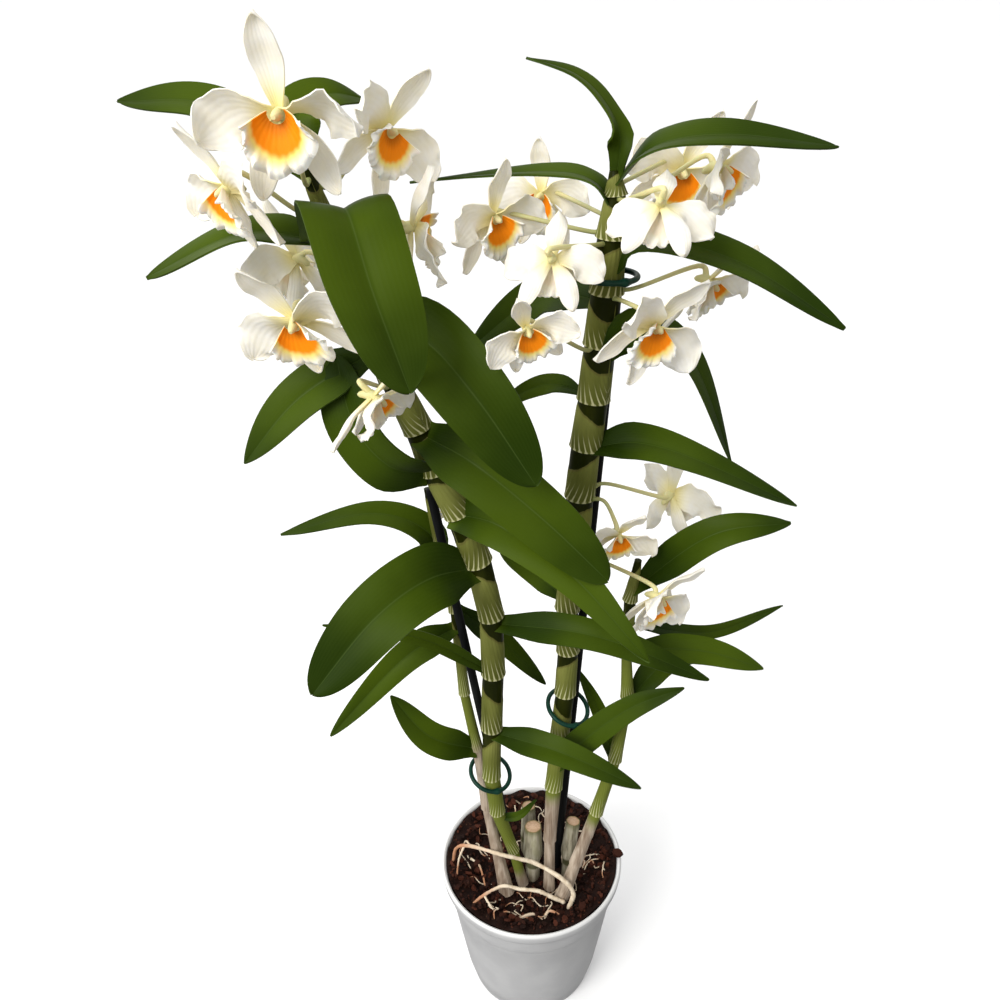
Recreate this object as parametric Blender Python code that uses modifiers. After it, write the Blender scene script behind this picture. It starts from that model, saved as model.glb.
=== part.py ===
"""A flowering dendrobium orchid in a white nursery pot.

Four leafy canes stand in bark with two plastic stakes, three ring clips and three
cut stumps. Leaves are fused to their cane, and each bloom hangs from a node on its
own stalk with its lip as a piece of its own. Metres, +Z up, origin under the pot.
"""
import math

import bmesh
import bpy
from mathutils import Matrix, Vector

GAP = 0.0004

POT_HEIGHT = 0.110
POT_RIM_RADIUS = 0.0625
POT_BASE_RADIUS = 0.043
POT_WALL = 0.0022
POT_RIM_BAND = 0.008
POT_RIM_WIDTH = 0.0045
POT_KNEE_HEIGHT = 0.018
POT_KNEE_FLARE = 0.0045
POT_SIDES = 28
BARK_LEVEL = 0.099
BARK_FLOOR = 0.004
BARK_RELIEF = 0.0022
BARK_EDGE = 0.096
BARK_RINGS = (0.052, 0.034, 0.016)
STEM_DEPTH = 0.030

# A cane swells from a narrow joint to the hem of its sheath, a share of the way up each span.
HEM_SHARE = 0.12
JOINT_SWELL = 0.98
HEM_SWELL = 1.12

LEAF_THICKNESS = 0.0008
TEPAL_THICKNESS = 0.0007
LEAF_FOLD = math.radians(16)
BROAD_LEAF = 0.030
STAKE_RADIUS = 0.0025
CLIP_WIRE = 0.0010

# Each row is one node of a cane, from the bark up: where it is, and the radius there.
CANES = {
    "cane_a": [
        (-0.006, -0.013, 0.098, 0.0032), (-0.012, -0.014, 0.132, 0.0031),
        (-0.022, -0.016, 0.172, 0.0042), (-0.025, -0.017, 0.205, 0.0050),
        (-0.024, -0.019, 0.248, 0.0058), (-0.022, -0.021, 0.292, 0.0063),
        (-0.022, -0.024, 0.335, 0.0065), (-0.028, -0.026, 0.372, 0.0070),
        (-0.037, -0.028, 0.403, 0.0070), (-0.047, -0.029, 0.428, 0.0070),
        (-0.054, -0.031, 0.451, 0.0067), (-0.064, -0.032, 0.477, 0.0062),
        (-0.073, -0.033, 0.502, 0.0055), (-0.080, -0.034, 0.527, 0.0045),
        (-0.086, -0.035, 0.550, 0.0034), (-0.092, -0.036, 0.570, 0.0026),
    ],
    "cane_b": [
        (0.012, -0.017, 0.098, 0.0032), (0.012, -0.0165, 0.146, 0.0034),
        (0.014, -0.015, 0.193, 0.0048), (0.017, -0.014, 0.234, 0.0053),
        (0.020, -0.014, 0.271, 0.0057), (0.021, -0.014, 0.303, 0.0060),
        (0.020, -0.014, 0.333, 0.0063), (0.023, -0.015, 0.369, 0.0069),
        (0.025, -0.016, 0.406, 0.0073), (0.027, -0.017, 0.435, 0.0074),
        (0.030, -0.018, 0.461, 0.0075), (0.032, -0.019, 0.489, 0.0074),
        (0.034, -0.020, 0.514, 0.0073), (0.035, -0.021, 0.539, 0.0064),
        (0.036, -0.022, 0.557, 0.0045), (0.035, -0.022, 0.567, 0.0022),
    ],
    "cane_c": [
        (0.021, -0.024, 0.098, 0.0046), (0.029, -0.024, 0.132, 0.0034),
        (0.041, -0.023, 0.179, 0.0036), (0.051, -0.022, 0.224, 0.0034),
        (0.056, -0.022, 0.275, 0.0033), (0.054, -0.021, 0.305, 0.0027),
        (0.054, -0.020, 0.343, 0.0034), (0.057, -0.020, 0.369, 0.0020),
    ],
    "cane_d": [
        (-0.017, -0.020, 0.098, 0.0046), (-0.023, -0.015, 0.133, 0.0033),
        (-0.029, -0.011, 0.170, 0.0030), (-0.034, -0.007, 0.218, 0.0029),
        (-0.041, -0.002, 0.259, 0.0027), (-0.045, 0.003, 0.318, 0.0026),
        (-0.051, 0.005, 0.358, 0.0030), (-0.057, 0.007, 0.398, 0.0018),
    ],
}

# Each row is one leaf: the points its midrib runs through from node to tip, its
# width, the way its upper face looks, and how wide its foot is as a share of the width.
LEAVES = {
    "cane_a": [
        ([(-0.092, -0.036, 0.567), (-0.128, -0.028, 0.592), (-0.166, -0.028, 0.594)], 0.023, (0, -0.5, 0.85), 0.3),
        ([(-0.092, -0.036, 0.568), (-0.0955, -0.026, 0.588), (-0.084, -0.016, 0.5955), (-0.0705, -0.004, 0.5925)],
         0.021, (0.2, -0.55, 0.8), 0.3),
        ([(-0.087, -0.035, 0.540), (-0.123, -0.033, 0.543), (-0.166, -0.036, 0.525)], 0.023, (0, -0.35, 0.95), 0.3),
        ([(-0.082, -0.036, 0.540), (-0.0715, -0.064, 0.559), (-0.0595, -0.088, 0.533), (-0.0465, -0.1015, 0.499)],
         0.037, (0, -0.15, 1), 0.85),
        ([(-0.072, -0.034, 0.498), (-0.047, -0.056, 0.505), (-0.0225, -0.073, 0.484), (0.002, -0.080, 0.447)],
         0.034, (-0.2, -0.8, 0.55), 0.6),
        ([(-0.053, -0.032, 0.449), (-0.026, -0.056, 0.445), (0.006, -0.066, 0.421), (0.036, -0.071, 0.391)],
         0.030, (-0.2, -0.8, 0.6), 0.5),
        ([(-0.039, -0.029, 0.403), (-0.015, -0.048, 0.407), (0.020, -0.068, 0.391), (0.056, -0.088, 0.356)],
         0.024, (-0.2, -0.8, 0.6), 0.7),
        ([(-0.069, -0.033, 0.492), (-0.106, -0.041, 0.471), (-0.134, -0.047, 0.441)], 0.024, (-0.2, -0.8, 0.5), 0.4),
        ([(-0.048, -0.030, 0.427), (-0.066, -0.046, 0.439), (-0.081, -0.046, 0.460), (-0.088, -0.036, 0.489)],
         0.031, (-0.35, -0.9, 0.0), 0.5),
        ([(-0.029, -0.026, 0.368), (-0.052, -0.050, 0.377), (-0.077, -0.070, 0.367), (-0.107, -0.086, 0.334)],
         0.035, (0.1, -0.75, 0.65), 0.45),
        ([(-0.022, -0.024, 0.330), (0.034, -0.046, 0.338), (0.095, -0.050, 0.312)], 0.019, (0.1, -0.6, 0.8), 0.5),
        ([(-0.024, -0.019, 0.244), (0.018, -0.040, 0.248), (0.064, -0.048, 0.228)], 0.018, (0.1, -0.6, 0.8), 0.5),
        ([(-0.022, -0.021, 0.292), (-0.061, -0.032, 0.326), (-0.112, -0.036, 0.338)], 0.009, (0.3, -0.8, 0.5), 0.6),
        ([(-0.020, -0.016, 0.167), (-0.008, -0.018, 0.171), (0.003, -0.017, 0.184)], 0.006, (0.2, -0.7, 0.7), 0.6),
    ],
    "cane_b": [
        ([(0.036, -0.022, 0.561), (0.0365, -0.024, 0.580), (0.029, -0.027, 0.594), (0.017, -0.030, 0.604),
          (-0.002, -0.034, 0.610)], 0.0125, (-0.15, -0.35, 0.93), 0.45),
        ([(0.036, -0.022, 0.561), (0.050, -0.036, 0.578), (0.076, -0.048, 0.584), (0.119, -0.050, 0.580)],
         0.020, (0.0, -0.45, 0.9), 0.3),
        ([(0.036, -0.022, 0.549), (0.026, -0.020, 0.562), (0.004, -0.016, 0.565), (-0.054, -0.004, 0.559)],
         0.017, (0.0, -0.15, 1.0), 0.3),
        ([(0.035, -0.021, 0.522), (0.048, -0.030, 0.540), (0.088, -0.042, 0.533), (0.134, -0.050, 0.507)],
         0.023, (0.0, -0.5, 0.85), 0.3),
        ([(0.031, -0.020, 0.480), (0.049, -0.028, 0.499), (0.079, -0.006, 0.475), (0.108, 0.008, 0.411)],
         0.021, (0.5, -0.6, 0.6), 0.3),
        ([(0.027, -0.018, 0.434), (0.052, -0.026, 0.441), (0.082, -0.034, 0.435), (0.129, -0.042, 0.415)],
         0.022, (0.0, -0.5, 0.85), 0.4),
        ([(0.028, -0.017, 0.462), (0.012, -0.002, 0.462), (-0.002, 0.000, 0.458), (-0.018, 0.003, 0.446)],
         0.012, (0.2, -0.7, 0.7), 0.2),
        ([(0.033, -0.019, 0.510), (0.004, 0.020, 0.500), (-0.034, 0.030, 0.468)], 0.024, (-0.2, -0.8, 0.6), 0.4),
        ([(0.020, -0.014, 0.338), (0.001, 0.004, 0.345), (-0.018, 0.014, 0.352)], 0.015, (0.3, -0.8, 0.5), 0.4),
        ([(0.015, -0.015, 0.210), (0.030, -0.026, 0.243), (0.056, -0.034, 0.277), (0.085, -0.038, 0.296)],
         0.018, (-0.2, -0.8, 0.6), 0.4),
    ],
    "cane_c": [
        ([(0.056, -0.022, 0.272), (0.083, -0.008, 0.292), (0.124, 0.004, 0.289)], 0.017, (0.0, -0.5, 0.85), 0.4),
        ([(0.054, -0.021, 0.310), (0.096, -0.026, 0.312), (0.130, -0.030, 0.303)], 0.018, (0.0, -0.6, 0.8), 0.4),
        ([(0.054, -0.020, 0.326), (0.112, 0.026, 0.285), (0.158, 0.036, 0.298)], 0.010, (0.2, -0.7, 0.7), 0.3),
        ([(0.055, -0.020, 0.350), (0.091, -0.034, 0.393), (0.129, -0.038, 0.403)], 0.020, (-0.1, -0.7, 0.7), 0.4),
        ([(0.050, -0.022, 0.222), (0.043, 0.000, 0.240), (0.029, 0.010, 0.268)], 0.011, (0.3, -0.9, 0.3), 0.4),
    ],
    "cane_d": [
        ([(-0.049, 0.004, 0.348), (-0.059, 0.004, 0.373), (-0.088, 0.000, 0.386), (-0.136, -0.007, 0.377)],
         0.019, (-0.1, -0.5, 0.85), 0.2),
        ([(-0.044, 0.002, 0.308), (-0.075, -0.014, 0.296), (-0.119, -0.028, 0.250)], 0.020, (0.2, -0.8, 0.55), 0.4),
        ([(-0.034, -0.007, 0.218), (-0.062, -0.018, 0.240), (-0.083, -0.018, 0.272)], 0.021, (0.4, -0.8, 0.4), 0.5),
        ([(-0.045, 0.003, 0.322), (-0.018, 0.020, 0.282), (0.009, 0.022, 0.246)], 0.015, (0.3, -0.85, 0.4), 0.4),
    ],
}

# Each row is one bloom: cane and height of its node, centre, then how far it turns
# to the right, rises and rolls in degrees, its scale, how far its tepals cup and its right petal twists.
BLOOMS = [
    ("cane_a", 0.566, (-0.091, -0.068, 0.594), -3, -10, -5, 0.95, 8, 45),
    ("cane_a", 0.553, (-0.1162, -0.0605, 0.567), -42, -26, -15, 0.80, 12, 0),
    ("cane_a", 0.563, (-0.059, -0.032, 0.584), 48, -10, 38, 0.84, 18, 15),
    ("cane_a", 0.527, (-0.109, -0.002, 0.525), -115, -20, 0, 0.84, 20, 0),
    ("cane_a", 0.510, (-0.097, -0.062, 0.515), -6, -30, -30, 0.90, 6, 15),
    ("cane_a", 0.530, (-0.051, -0.032, 0.546), 103, -6, -30, 0.90, 20, 0),
    ("cane_b", 0.541, (-0.017, -0.022, 0.548), 40, -16, 0, 0.76, 14, 0),
    ("cane_b", 0.546, (0.005, 0.036, 0.546), -20, -8, 0, 0.78, 5, 0),
    ("cane_b", 0.537, (0.0085, -0.050, 0.537), 170, -42, 0, 0.68, 20, 0),
    ("cane_b", 0.490, (-0.002, -0.070, 0.514), 20, -28, -22, 0.64, 22, 0),
    ("cane_a", 0.477, (-0.065, -0.078, 0.488), 72, -40, 10, 0.80, 22, 0),
    ("cane_a", 0.405, (-0.033, 0.036, 0.378), 30, -48, 0, 0.80, 15, 0),
    ("cane_b", 0.556, (0.050, -0.062, 0.561), 168, -58, 0, 0.72, 26, 0),
    ("cane_b", 0.554, (0.080, -0.014, 0.567), 58, -18, 5, 0.86, 16, 15),
    ("cane_b", 0.560, (0.072, 0.036, 0.558), 12, -22, 24, 0.95, 10, 0),
    ("cane_b", 0.515, (0.080, -0.018, 0.519), 55, -40, 0, 0.80, 22, 15),
    ("cane_b", 0.513, (0.051, -0.056, 0.511), 25, -18, 40, 0.82, 22, 15),
    ("cane_b", 0.410, (0.075, 0.002, 0.397), 130, -5, 0, 0.86, 15, 0),
    ("cane_b", 0.406, (0.044, -0.032, 0.393), 15, -30, 20, 0.68, 20, 10),
    ("cane_b", 0.372, (0.063, -0.053, 0.369), 35, -25, 42, 0.79, 20, 15),
]

# The standing stakes, foot to top, and the ring clips: cane, height, radius, tilt.
STAKES = {
    "stake_left": [(-0.0035, 0.0045, 0.040), (-0.0525, -0.015, 0.410)],
    "stake_right": [(0.0145, 0.0015, 0.040), (0.0412, -0.0112, 0.545)],
}
CLIPS = {
    "clip_top": ((0.0356, -0.0177, 0.5210), 0.0123, 0, 0),
    "clip_middle": ((0.0220, -0.0110, 0.2570), 0.0128, 14, 20),
    "clip_low": ((-0.0261, -0.0113, 0.2020), 0.0130, 12, 20),
}
STUMPS = {
    "stump_front": [(0.001, -0.008, 0.098, 0.0046), (0.001, -0.008, 0.117, 0.0050),
                    (0.001, -0.007, 0.121, 0.0068), (0.001, -0.006, 0.146, 0.0056)],
    "stump_right": [(0.024, -0.007, 0.098, 0.0034), (0.025, -0.007, 0.117, 0.0036),
                    (0.025, -0.007, 0.121, 0.0050), (0.028, -0.004, 0.149, 0.0046)],
    "stump_back": [(-0.003, 0.014, 0.098, 0.0046), (-0.003, 0.014, 0.116, 0.0045),
                   (-0.002, 0.015, 0.120, 0.0052), (-0.002, 0.016, 0.141, 0.0046)],
}

# Surface roots: points that each one runs through, and its radius.
ROOTS = {
    "root_long": ([(0.0243, -0.0361, 0.1010), (0.0275, -0.0335, 0.1146), (0.0201, -0.0305, 0.1247),
                   (0.0030, -0.0235, 0.1310), (-0.0089, -0.0235, 0.1360), (-0.0214, -0.0225, 0.1392),
                   (-0.0414, -0.0120, 0.1341), (-0.0516, -0.0060, 0.1240), (-0.0548, -0.0035, 0.1010)], 0.0016),
    "root_front": ([(0.0225, -0.0310, 0.1014), (0.0137, -0.0300, 0.1057), (0.0043, -0.0290, 0.1106),
                    (-0.0077, -0.0290, 0.1126), (-0.0190, -0.0290, 0.1157), (-0.0316, -0.0320, 0.1105),
                    (-0.0425, -0.0350, 0.1010)], 0.0015),
    "root_thin": ([(-0.0484, 0.0064, 0.1035), (-0.0419, 0.0022, 0.1028), (-0.0361, -0.0030, 0.1020),
                   (-0.0311, -0.0194, 0.1004)], 0.0009),
    "root_loop": ([(-0.0121, -0.0455, 0.1014), (-0.0003, -0.0407, 0.1028), (0.0076, -0.0431, 0.1018),
                   (0.0116, -0.0400, 0.1051), (0.0188, -0.0419, 0.1047), (0.0250, -0.0405, 0.1007)], 0.0011),
}


def clear_scene():
    for obj in list(bpy.data.objects):
        bpy.data.objects.remove(obj, do_unlink=True)


def new_collection(name):
    collection = bpy.data.collections.new(name)
    bpy.context.scene.collection.children.link(collection)
    return collection


def make_material(name, colour, roughness, metallic=0.0):
    material = bpy.data.materials.new(name)
    material.use_nodes = True
    shader = material.node_tree.nodes["Principled BSDF"]
    shader.inputs["Base Color"].default_value = (*colour, 1)
    shader.inputs["Roughness"].default_value = roughness
    shader.inputs["Metallic"].default_value = metallic
    return material


def add_object(name, data, collection, material=None):
    obj = bpy.data.objects.new(name, data)
    collection.objects.link(obj)
    if material:
        obj.data.materials.append(material)
    return obj


def evaluated_mesh(obj):
    """The object's mesh with its modifiers applied."""
    bpy.context.view_layer.update()
    graph = bpy.context.evaluated_depsgraph_get()
    return bpy.data.meshes.new_from_object(obj.evaluated_get(graph))


def shade(mesh, angle=40):
    mesh.shade_smooth()
    mesh.set_sharp_from_angle(angle=math.radians(angle))


def smooth_point(points, t):
    """A point on the smooth curve that runs through all the points, with t from 0 to 1."""
    points = [Vector(p) for p in points]
    spans = len(points) - 1
    span = min(int(t * spans), spans - 1)
    u = t * spans - span
    start, end = points[span], points[span + 1]
    before = points[span - 1] if span > 0 else start * 2 - end
    after = points[span + 2] if span + 2 <= spans else end * 2 - start
    leave, arrive = (end - before) / 2, (after - start) / 2
    return (
        start * (2 * u**3 - 3 * u**2 + 1)
        + leave * (u**3 - 2 * u**2 + u)
        + end * (3 * u**2 - 2 * u**3)
        + arrive * (u**3 - u**2)
    )


def blade_axes(points, t, face):
    """Place, side and normal of a blade at t along its midrib."""
    step = 0.02
    along = smooth_point(points, min(t + step, 1)) - smooth_point(points, max(t - step, 0))
    along.normalize()
    normal = Vector(face) - along * along.dot(Vector(face))
    normal.normalize()
    return smooth_point(points, t), along.cross(normal), normal


def leaf_outline(t, neck, width):
    """Half width of a leaf at t along it, as a share of its greatest half width. Broad leaves end blunt."""
    swell = min(t / 0.30, 1)
    swell = swell * swell * (3 - 2 * swell)
    tip = (1 - t**6.0) ** 0.60 if width >= BROAD_LEAF else (1 - t**3.2) ** 0.75
    return max((neck + (1 - neck) * swell) * tip, 0.05)


def tepal_outline(t, neck=0.22):
    """Half width of a sepal or petal at t along it, as a share of its greatest half width."""
    return max((neck + (1 - neck) * math.sin(math.pi * t * 0.66)) * (1 - t**5) ** 0.6, 0.24)


def make_blade(name, collection, place, across, along, thickness):
    """A thin solid blade: a grid that place(s, t) shapes, given a thickness."""
    grid = bmesh.new()
    bmesh.ops.create_grid(grid, x_segments=across, y_segments=along, size=1)
    for vert in grid.verts:
        vert.co = place(vert.co.x, (vert.co.y + 1) / 2)
    bmesh.ops.triangulate(grid, faces=grid.faces)
    mesh = bpy.data.meshes.new(name)
    grid.to_mesh(mesh)
    grid.free()
    obj = add_object(name, mesh, collection)
    solidify = obj.modifiers.new("Thickness", "SOLIDIFY")
    solidify.thickness = thickness
    solidify.offset = 0
    return obj


def make_tube(name, collection, points, radii, resolution):
    """A round stem along the points, as a mesh with welded caps."""
    curve = bpy.data.curves.new(name, "CURVE")
    curve.dimensions = "3D"
    curve.bevel_depth = 1
    curve.bevel_resolution = resolution
    curve.use_fill_caps = True
    spline = curve.splines.new("POLY")
    spline.points.add(len(points) - 1)
    for knot, point, radius in zip(spline.points, points, radii):
        knot.co = (*point, 1)
        knot.radius = radius
    guide = add_object(name + "_guide", curve, collection)
    mesh = evaluated_mesh(guide)
    bpy.data.objects.remove(guide, do_unlink=True)
    welded = bmesh.new()
    welded.from_mesh(mesh)
    bmesh.ops.remove_doubles(welded, verts=welded.verts, dist=0.000002)
    bmesh.ops.recalc_face_normals(welded, faces=welded.faces)
    welded.to_mesh(mesh)
    welded.free()
    mesh.name = name
    return add_object(name, mesh, collection)


def fuse(name, pieces, collection, material):
    """One body from overlapping pieces, by a Boolean union that is then applied."""
    joining = new_collection(name + "_joining")
    first, others = pieces[0], pieces[1:]
    for piece in others:
        for owner in list(piece.users_collection):
            owner.objects.unlink(piece)
        joining.objects.link(piece)
    union = first.modifiers.new("Join", "BOOLEAN")
    union.operation = "UNION"
    union.operand_type = "COLLECTION"
    union.collection = joining
    mesh = evaluated_mesh(first)
    for piece in pieces:
        bpy.data.objects.remove(piece, do_unlink=True)
    bpy.data.collections.remove(joining)
    mesh.name = name
    mesh.materials.clear()
    shade(mesh)
    return add_object(name, mesh, collection, material)


def pot_inside(height):
    """Radius of the pot's inner wall at a height."""
    knee = POT_BASE_RADIUS + POT_KNEE_FLARE - POT_WALL
    rim = POT_RIM_RADIUS - POT_RIM_WIDTH
    if height < POT_KNEE_HEIGHT:
        return POT_BASE_RADIUS - POT_WALL + POT_KNEE_FLARE * height / POT_KNEE_HEIGHT
    return knee + (rim - knee) * (height - POT_KNEE_HEIGHT) / (POT_HEIGHT - 0.003 - POT_KNEE_HEIGHT)


def make_pot(collection, material):
    """A turned cup with a rim band, a wall that tapers and a shallow groove."""
    rim, base = POT_RIM_RADIUS, POT_BASE_RADIUS
    floor = BARK_FLOOR - 0.001
    band_bottom = POT_HEIGHT - POT_RIM_BAND
    under_band = rim - 0.0022
    profile = [
        (0, floor), (pot_inside(floor), floor), (pot_inside(POT_KNEE_HEIGHT), POT_KNEE_HEIGHT),
        (rim - POT_RIM_WIDTH, POT_HEIGHT - 0.003), (rim - 0.0030, POT_HEIGHT), (rim - 0.0008, POT_HEIGHT),
        (rim, POT_HEIGHT - 0.0012), (rim - 0.0006, band_bottom), (under_band, band_bottom - 0.0008),
        (under_band - 0.0028, 0.086), (under_band - 0.0036, 0.085), (under_band - 0.0036, 0.083),
        (base + POT_KNEE_FLARE, POT_KNEE_HEIGHT), (base, 0), (0, 0),
    ]
    outline = bmesh.new()
    verts = [outline.verts.new((radius, 0, height)) for radius, height in profile]
    for start, end in zip(verts, verts[1:]):
        outline.edges.new((start, end))
    mesh = bpy.data.meshes.new("pot")
    outline.to_mesh(mesh)
    outline.free()
    pot = add_object("pot", mesh, collection, material)
    turn = pot.modifiers.new("Turn", "SCREW")
    turn.axis = "Z"
    turn.steps = POT_SIDES
    turn.render_steps = POT_SIDES
    turn.use_merge_vertices = True
    turn.merge_threshold = 0.00001
    return pot


def bark_height(x, y):
    """How the top of the bark rises and falls."""
    wave = math.sin(x * 310 + 1.3) * math.cos(y * 270 - 0.6) + 0.6 * math.sin((x - y) * 460)
    return BARK_LEVEL + BARK_RELIEF * wave / 1.6


def make_substrate(collection, material, stems):
    """The bark that fills the pot, with a plain hole for each stem and stake."""
    rings = [(pot_inside(height) - GAP, height) for height in (BARK_FLOOR, POT_KNEE_HEIGHT, BARK_EDGE)]
    rings += [(radius, BARK_LEVEL) for radius in BARK_RINGS]
    fill = bmesh.new()
    loops = []
    for radius, height in rings:
        loop = bmesh.ops.create_circle(fill, segments=POT_SIDES, radius=radius)["verts"]
        for vert in loop:
            vert.co.z = bark_height(vert.co.x, vert.co.y) if height == BARK_LEVEL else height
        loops.append(loop)
    bmesh.ops.bridge_loops(fill, edges=fill.edges[:])
    for loop in (loops[0], loops[-1]):
        fill.faces.new(loop)
    bmesh.ops.recalc_face_normals(fill, faces=fill.faces)
    bmesh.ops.triangulate(fill, faces=fill.faces)
    mesh = bpy.data.meshes.new("substrate")
    fill.to_mesh(mesh)
    fill.free()
    substrate = add_object("substrate", mesh, collection, material)
    cut = substrate.modifiers.new("Holes", "BOOLEAN")
    cut.operand_type = "COLLECTION"
    cut.collection = stems
    return substrate


def stem_points(rows):
    """The rows of a stem with a foot added below the bark."""
    x, y, z, radius = rows[0]
    return [(x, y, z - STEM_DEPTH, radius)] + list(rows)


def cane_ring(low, high, share):
    """Centre and radius of a cane between two nodes, with a joint at the foot and a sheath hem above it."""
    centre = Vector(low[:3]).lerp(Vector(high[:3]), share)
    if share < HEM_SHARE:
        swell = JOINT_SWELL + (HEM_SWELL - JOINT_SWELL) * share / HEM_SHARE
    else:
        swell = HEM_SWELL + (JOINT_SWELL - HEM_SWELL) * (share - HEM_SHARE) / (1 - HEM_SHARE)
    return centre, (low[3] + (high[3] - low[3]) * share) * swell


def cane_rings(rows):
    """Ring centres and radii of a whole cane, from its foot under the bark."""
    rows = stem_points(rows)
    rings = [(Vector(rows[0][:3]), rows[0][3])]
    for low, high in zip(rows[1:], rows[2:]):
        rings += [cane_ring(low, high, 0), cane_ring(low, high, HEM_SHARE)]
    rings.append((Vector(rows[-1][:3]), rows[-1][3]))
    return [centre for centre, radius in rings], [radius for centre, radius in rings]


def on_cane(cane, height, toward):
    """A point just off the skin of a cane at a height, on the side that faces a target."""
    rows = CANES[cane]
    for low, high in zip(rows, rows[1:]):
        if low[2] <= height <= high[2]:
            axis, radius = cane_ring(low, high, (height - low[2]) / (high[2] - low[2]))
            break
    way = Vector(toward) - axis
    way.z = 0
    return axis + way.normalized() * (radius + GAP), way.normalized()


def make_cane(name, collection, material):
    """A cane with its leaves fused to it."""
    centres, radii = cane_rings(CANES[name])
    thick = max(radii) > 0.005
    pieces = [make_tube(name + "_stem", collection, centres, radii, 2 if thick else 1)]
    for number, (points, width, face, neck) in enumerate(LEAVES[name]):

        def place(s, t, points=points, width=width, face=face, neck=neck):
            spot, side, normal = blade_axes(points, t, face)
            half = width / 2 * leaf_outline(t, neck, width)
            fold = LEAF_FOLD * (1 - 0.5 * t)
            return spot + side * (s * half * math.cos(fold)) + normal * (abs(s) * half * math.sin(fold))

        rows = 2 * len(points) - 2 if len(points) > 3 else 5
        pieces.append(make_blade(f"{name}_leaf_{number}", collection, place, 2, rows, LEAF_THICKNESS))
    return fuse(name, pieces, collection, material)


def bloom_matrix(centre, turn, rise, roll, scale):
    """Bloom space, with x to its right, y the way it faces and z up, set in the world."""
    turn, rise, roll = (math.radians(angle) for angle in (turn, rise, roll))
    facing = Vector((math.sin(turn) * math.cos(rise), -math.cos(turn) * math.cos(rise), math.sin(rise)))
    right = Vector((0, 0, 1)).cross(facing).normalized()
    up = facing.cross(right)
    rolled_up = up * math.cos(roll) + right * math.sin(roll)
    rolled_right = right * math.cos(roll) - up * math.sin(roll)
    axes = Matrix((rolled_right, facing, rolled_up)).transposed().to_4x4()
    return Matrix.Translation(centre) @ axes @ Matrix.Scale(scale, 4)


# Tepals in bloom space: midrib points, width, ruffle of the edge, cells across and along,
# and how much of the bloom's cup each one takes.
TEPALS = {
    "dorsal": ([(0, -0.001, 0.001), (0, -0.004, 0.018), (0, -0.001, 0.035)], 0.0145, 0.0, 1, 3, 0.6),
    "petal_right": ([(0.001, 0.001, 0), (0.017, -0.001, 0.002), (0.033, 0.002, -0.006)], 0.024, 0.0022, 2, 3, 1),
    "petal_left": ([(-0.001, 0.001, 0), (-0.017, -0.001, 0.002), (-0.033, 0.002, -0.006)], 0.024, -0.0022, 2, 3, 1),
    "sepal_right": ([(0.001, -0.001, -0.001), (0.010, -0.003, -0.016), (0.016, 0.000, -0.032)], 0.0135, 0, 1, 3, 0.3),
    "sepal_left": ([(-0.001, -0.001, -0.001), (-0.010, -0.003, -0.016), (-0.016, 0, -0.032)], 0.0135, 0, 1, 3, 0.3),
}
TWIST_SHARES = {"petal_right": 1, "petal_left": 0.33}

# The chin, the hub that carries the tepals and the column, as one tapered rod in bloom space.
COLUMN_POINTS = [(0, -0.0065, -0.0055), (0, -0.0020, -0.0010), (0, 0.0012, 0), (0, 0.0085, 0.0008)]
COLUMN_RADII = [0.0013, 0.0028, 0.0028, 0.0016]
STALK_RADII = [0.0010, 0.0010, 0.0012, 0.0014]


def cupped(point, cup):
    """A point of a tepal tipped forward by the cup angle."""
    tilt = math.radians(cup)
    x, y, z = point
    return Vector((x * math.cos(tilt), y + math.hypot(x, z) * math.sin(tilt), z * math.cos(tilt)))


def lip_point(s, t):
    """The lip in bloom space: a throat under the column that opens to a round, shallow trumpet."""
    radius = 0.0037 + 0.0101 * t**0.9
    angle = s * (2.0 + 0.15 * t)
    depth = 0.0046 + 0.0096 * t - 0.003 * t * t * math.cos(angle)
    return Vector((radius * math.sin(angle), depth, 0.0009 - 0.0084 * t - radius * math.cos(angle)))


def make_bloom(number, row, collection, white, orange):
    """One bloom: tepals, column and stalk in one body, and its lip as another."""
    cane, height, centre, turn, rise, roll, scale, cup, twist = row
    matrix = bloom_matrix(centre, turn, rise, roll, scale)
    name = f"bloom_{number:02d}"
    core = [matrix @ Vector(point) for point in COLUMN_POINTS]
    pieces = [make_tube(name + "_column", collection, core, [radius * scale for radius in COLUMN_RADII], 1)]
    for part, (points, width, ruffle, across, along, share) in TEPALS.items():
        points = [cupped(point, cup * share) for point in points]
        tilt = math.radians(TWIST_SHARES.get(part, 0) * twist)

        def place(s, t, points=points, width=width, ruffle=ruffle, tilt=tilt):
            spot, side, normal = blade_axes(points, t, (0, math.cos(tilt), -math.sin(tilt)))
            half = width / 2 * tepal_outline(t)
            lift = 0.0012 * abs(s) * t + ruffle * s * math.sin(7 * t)
            return matrix @ (spot + side * (s * half) + normal * lift)

        pieces.append(make_blade(f"{name}_{part}", collection, place, across, along, TEPAL_THICKNESS))
    back = matrix @ Vector((0, -0.010, 0.001))
    start, way = on_cane(cane, height, back)
    route = [start, start + way * 0.007 + Vector((0, 0, 0.001)), back, matrix @ Vector((0, -0.0012, 0))]
    stalk = [smooth_point(route, k / 3) for k in range(4)]
    pieces.append(make_tube(name + "_stalk", collection, stalk, STALK_RADII, 0))
    fuse(name, pieces, collection, white)

    lip = make_blade(f"lip_{number:02d}", collection, lambda s, t: matrix @ lip_point(s, t), 6, 2, TEPAL_THICKNESS)
    lip.data.materials.append(orange)


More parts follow.
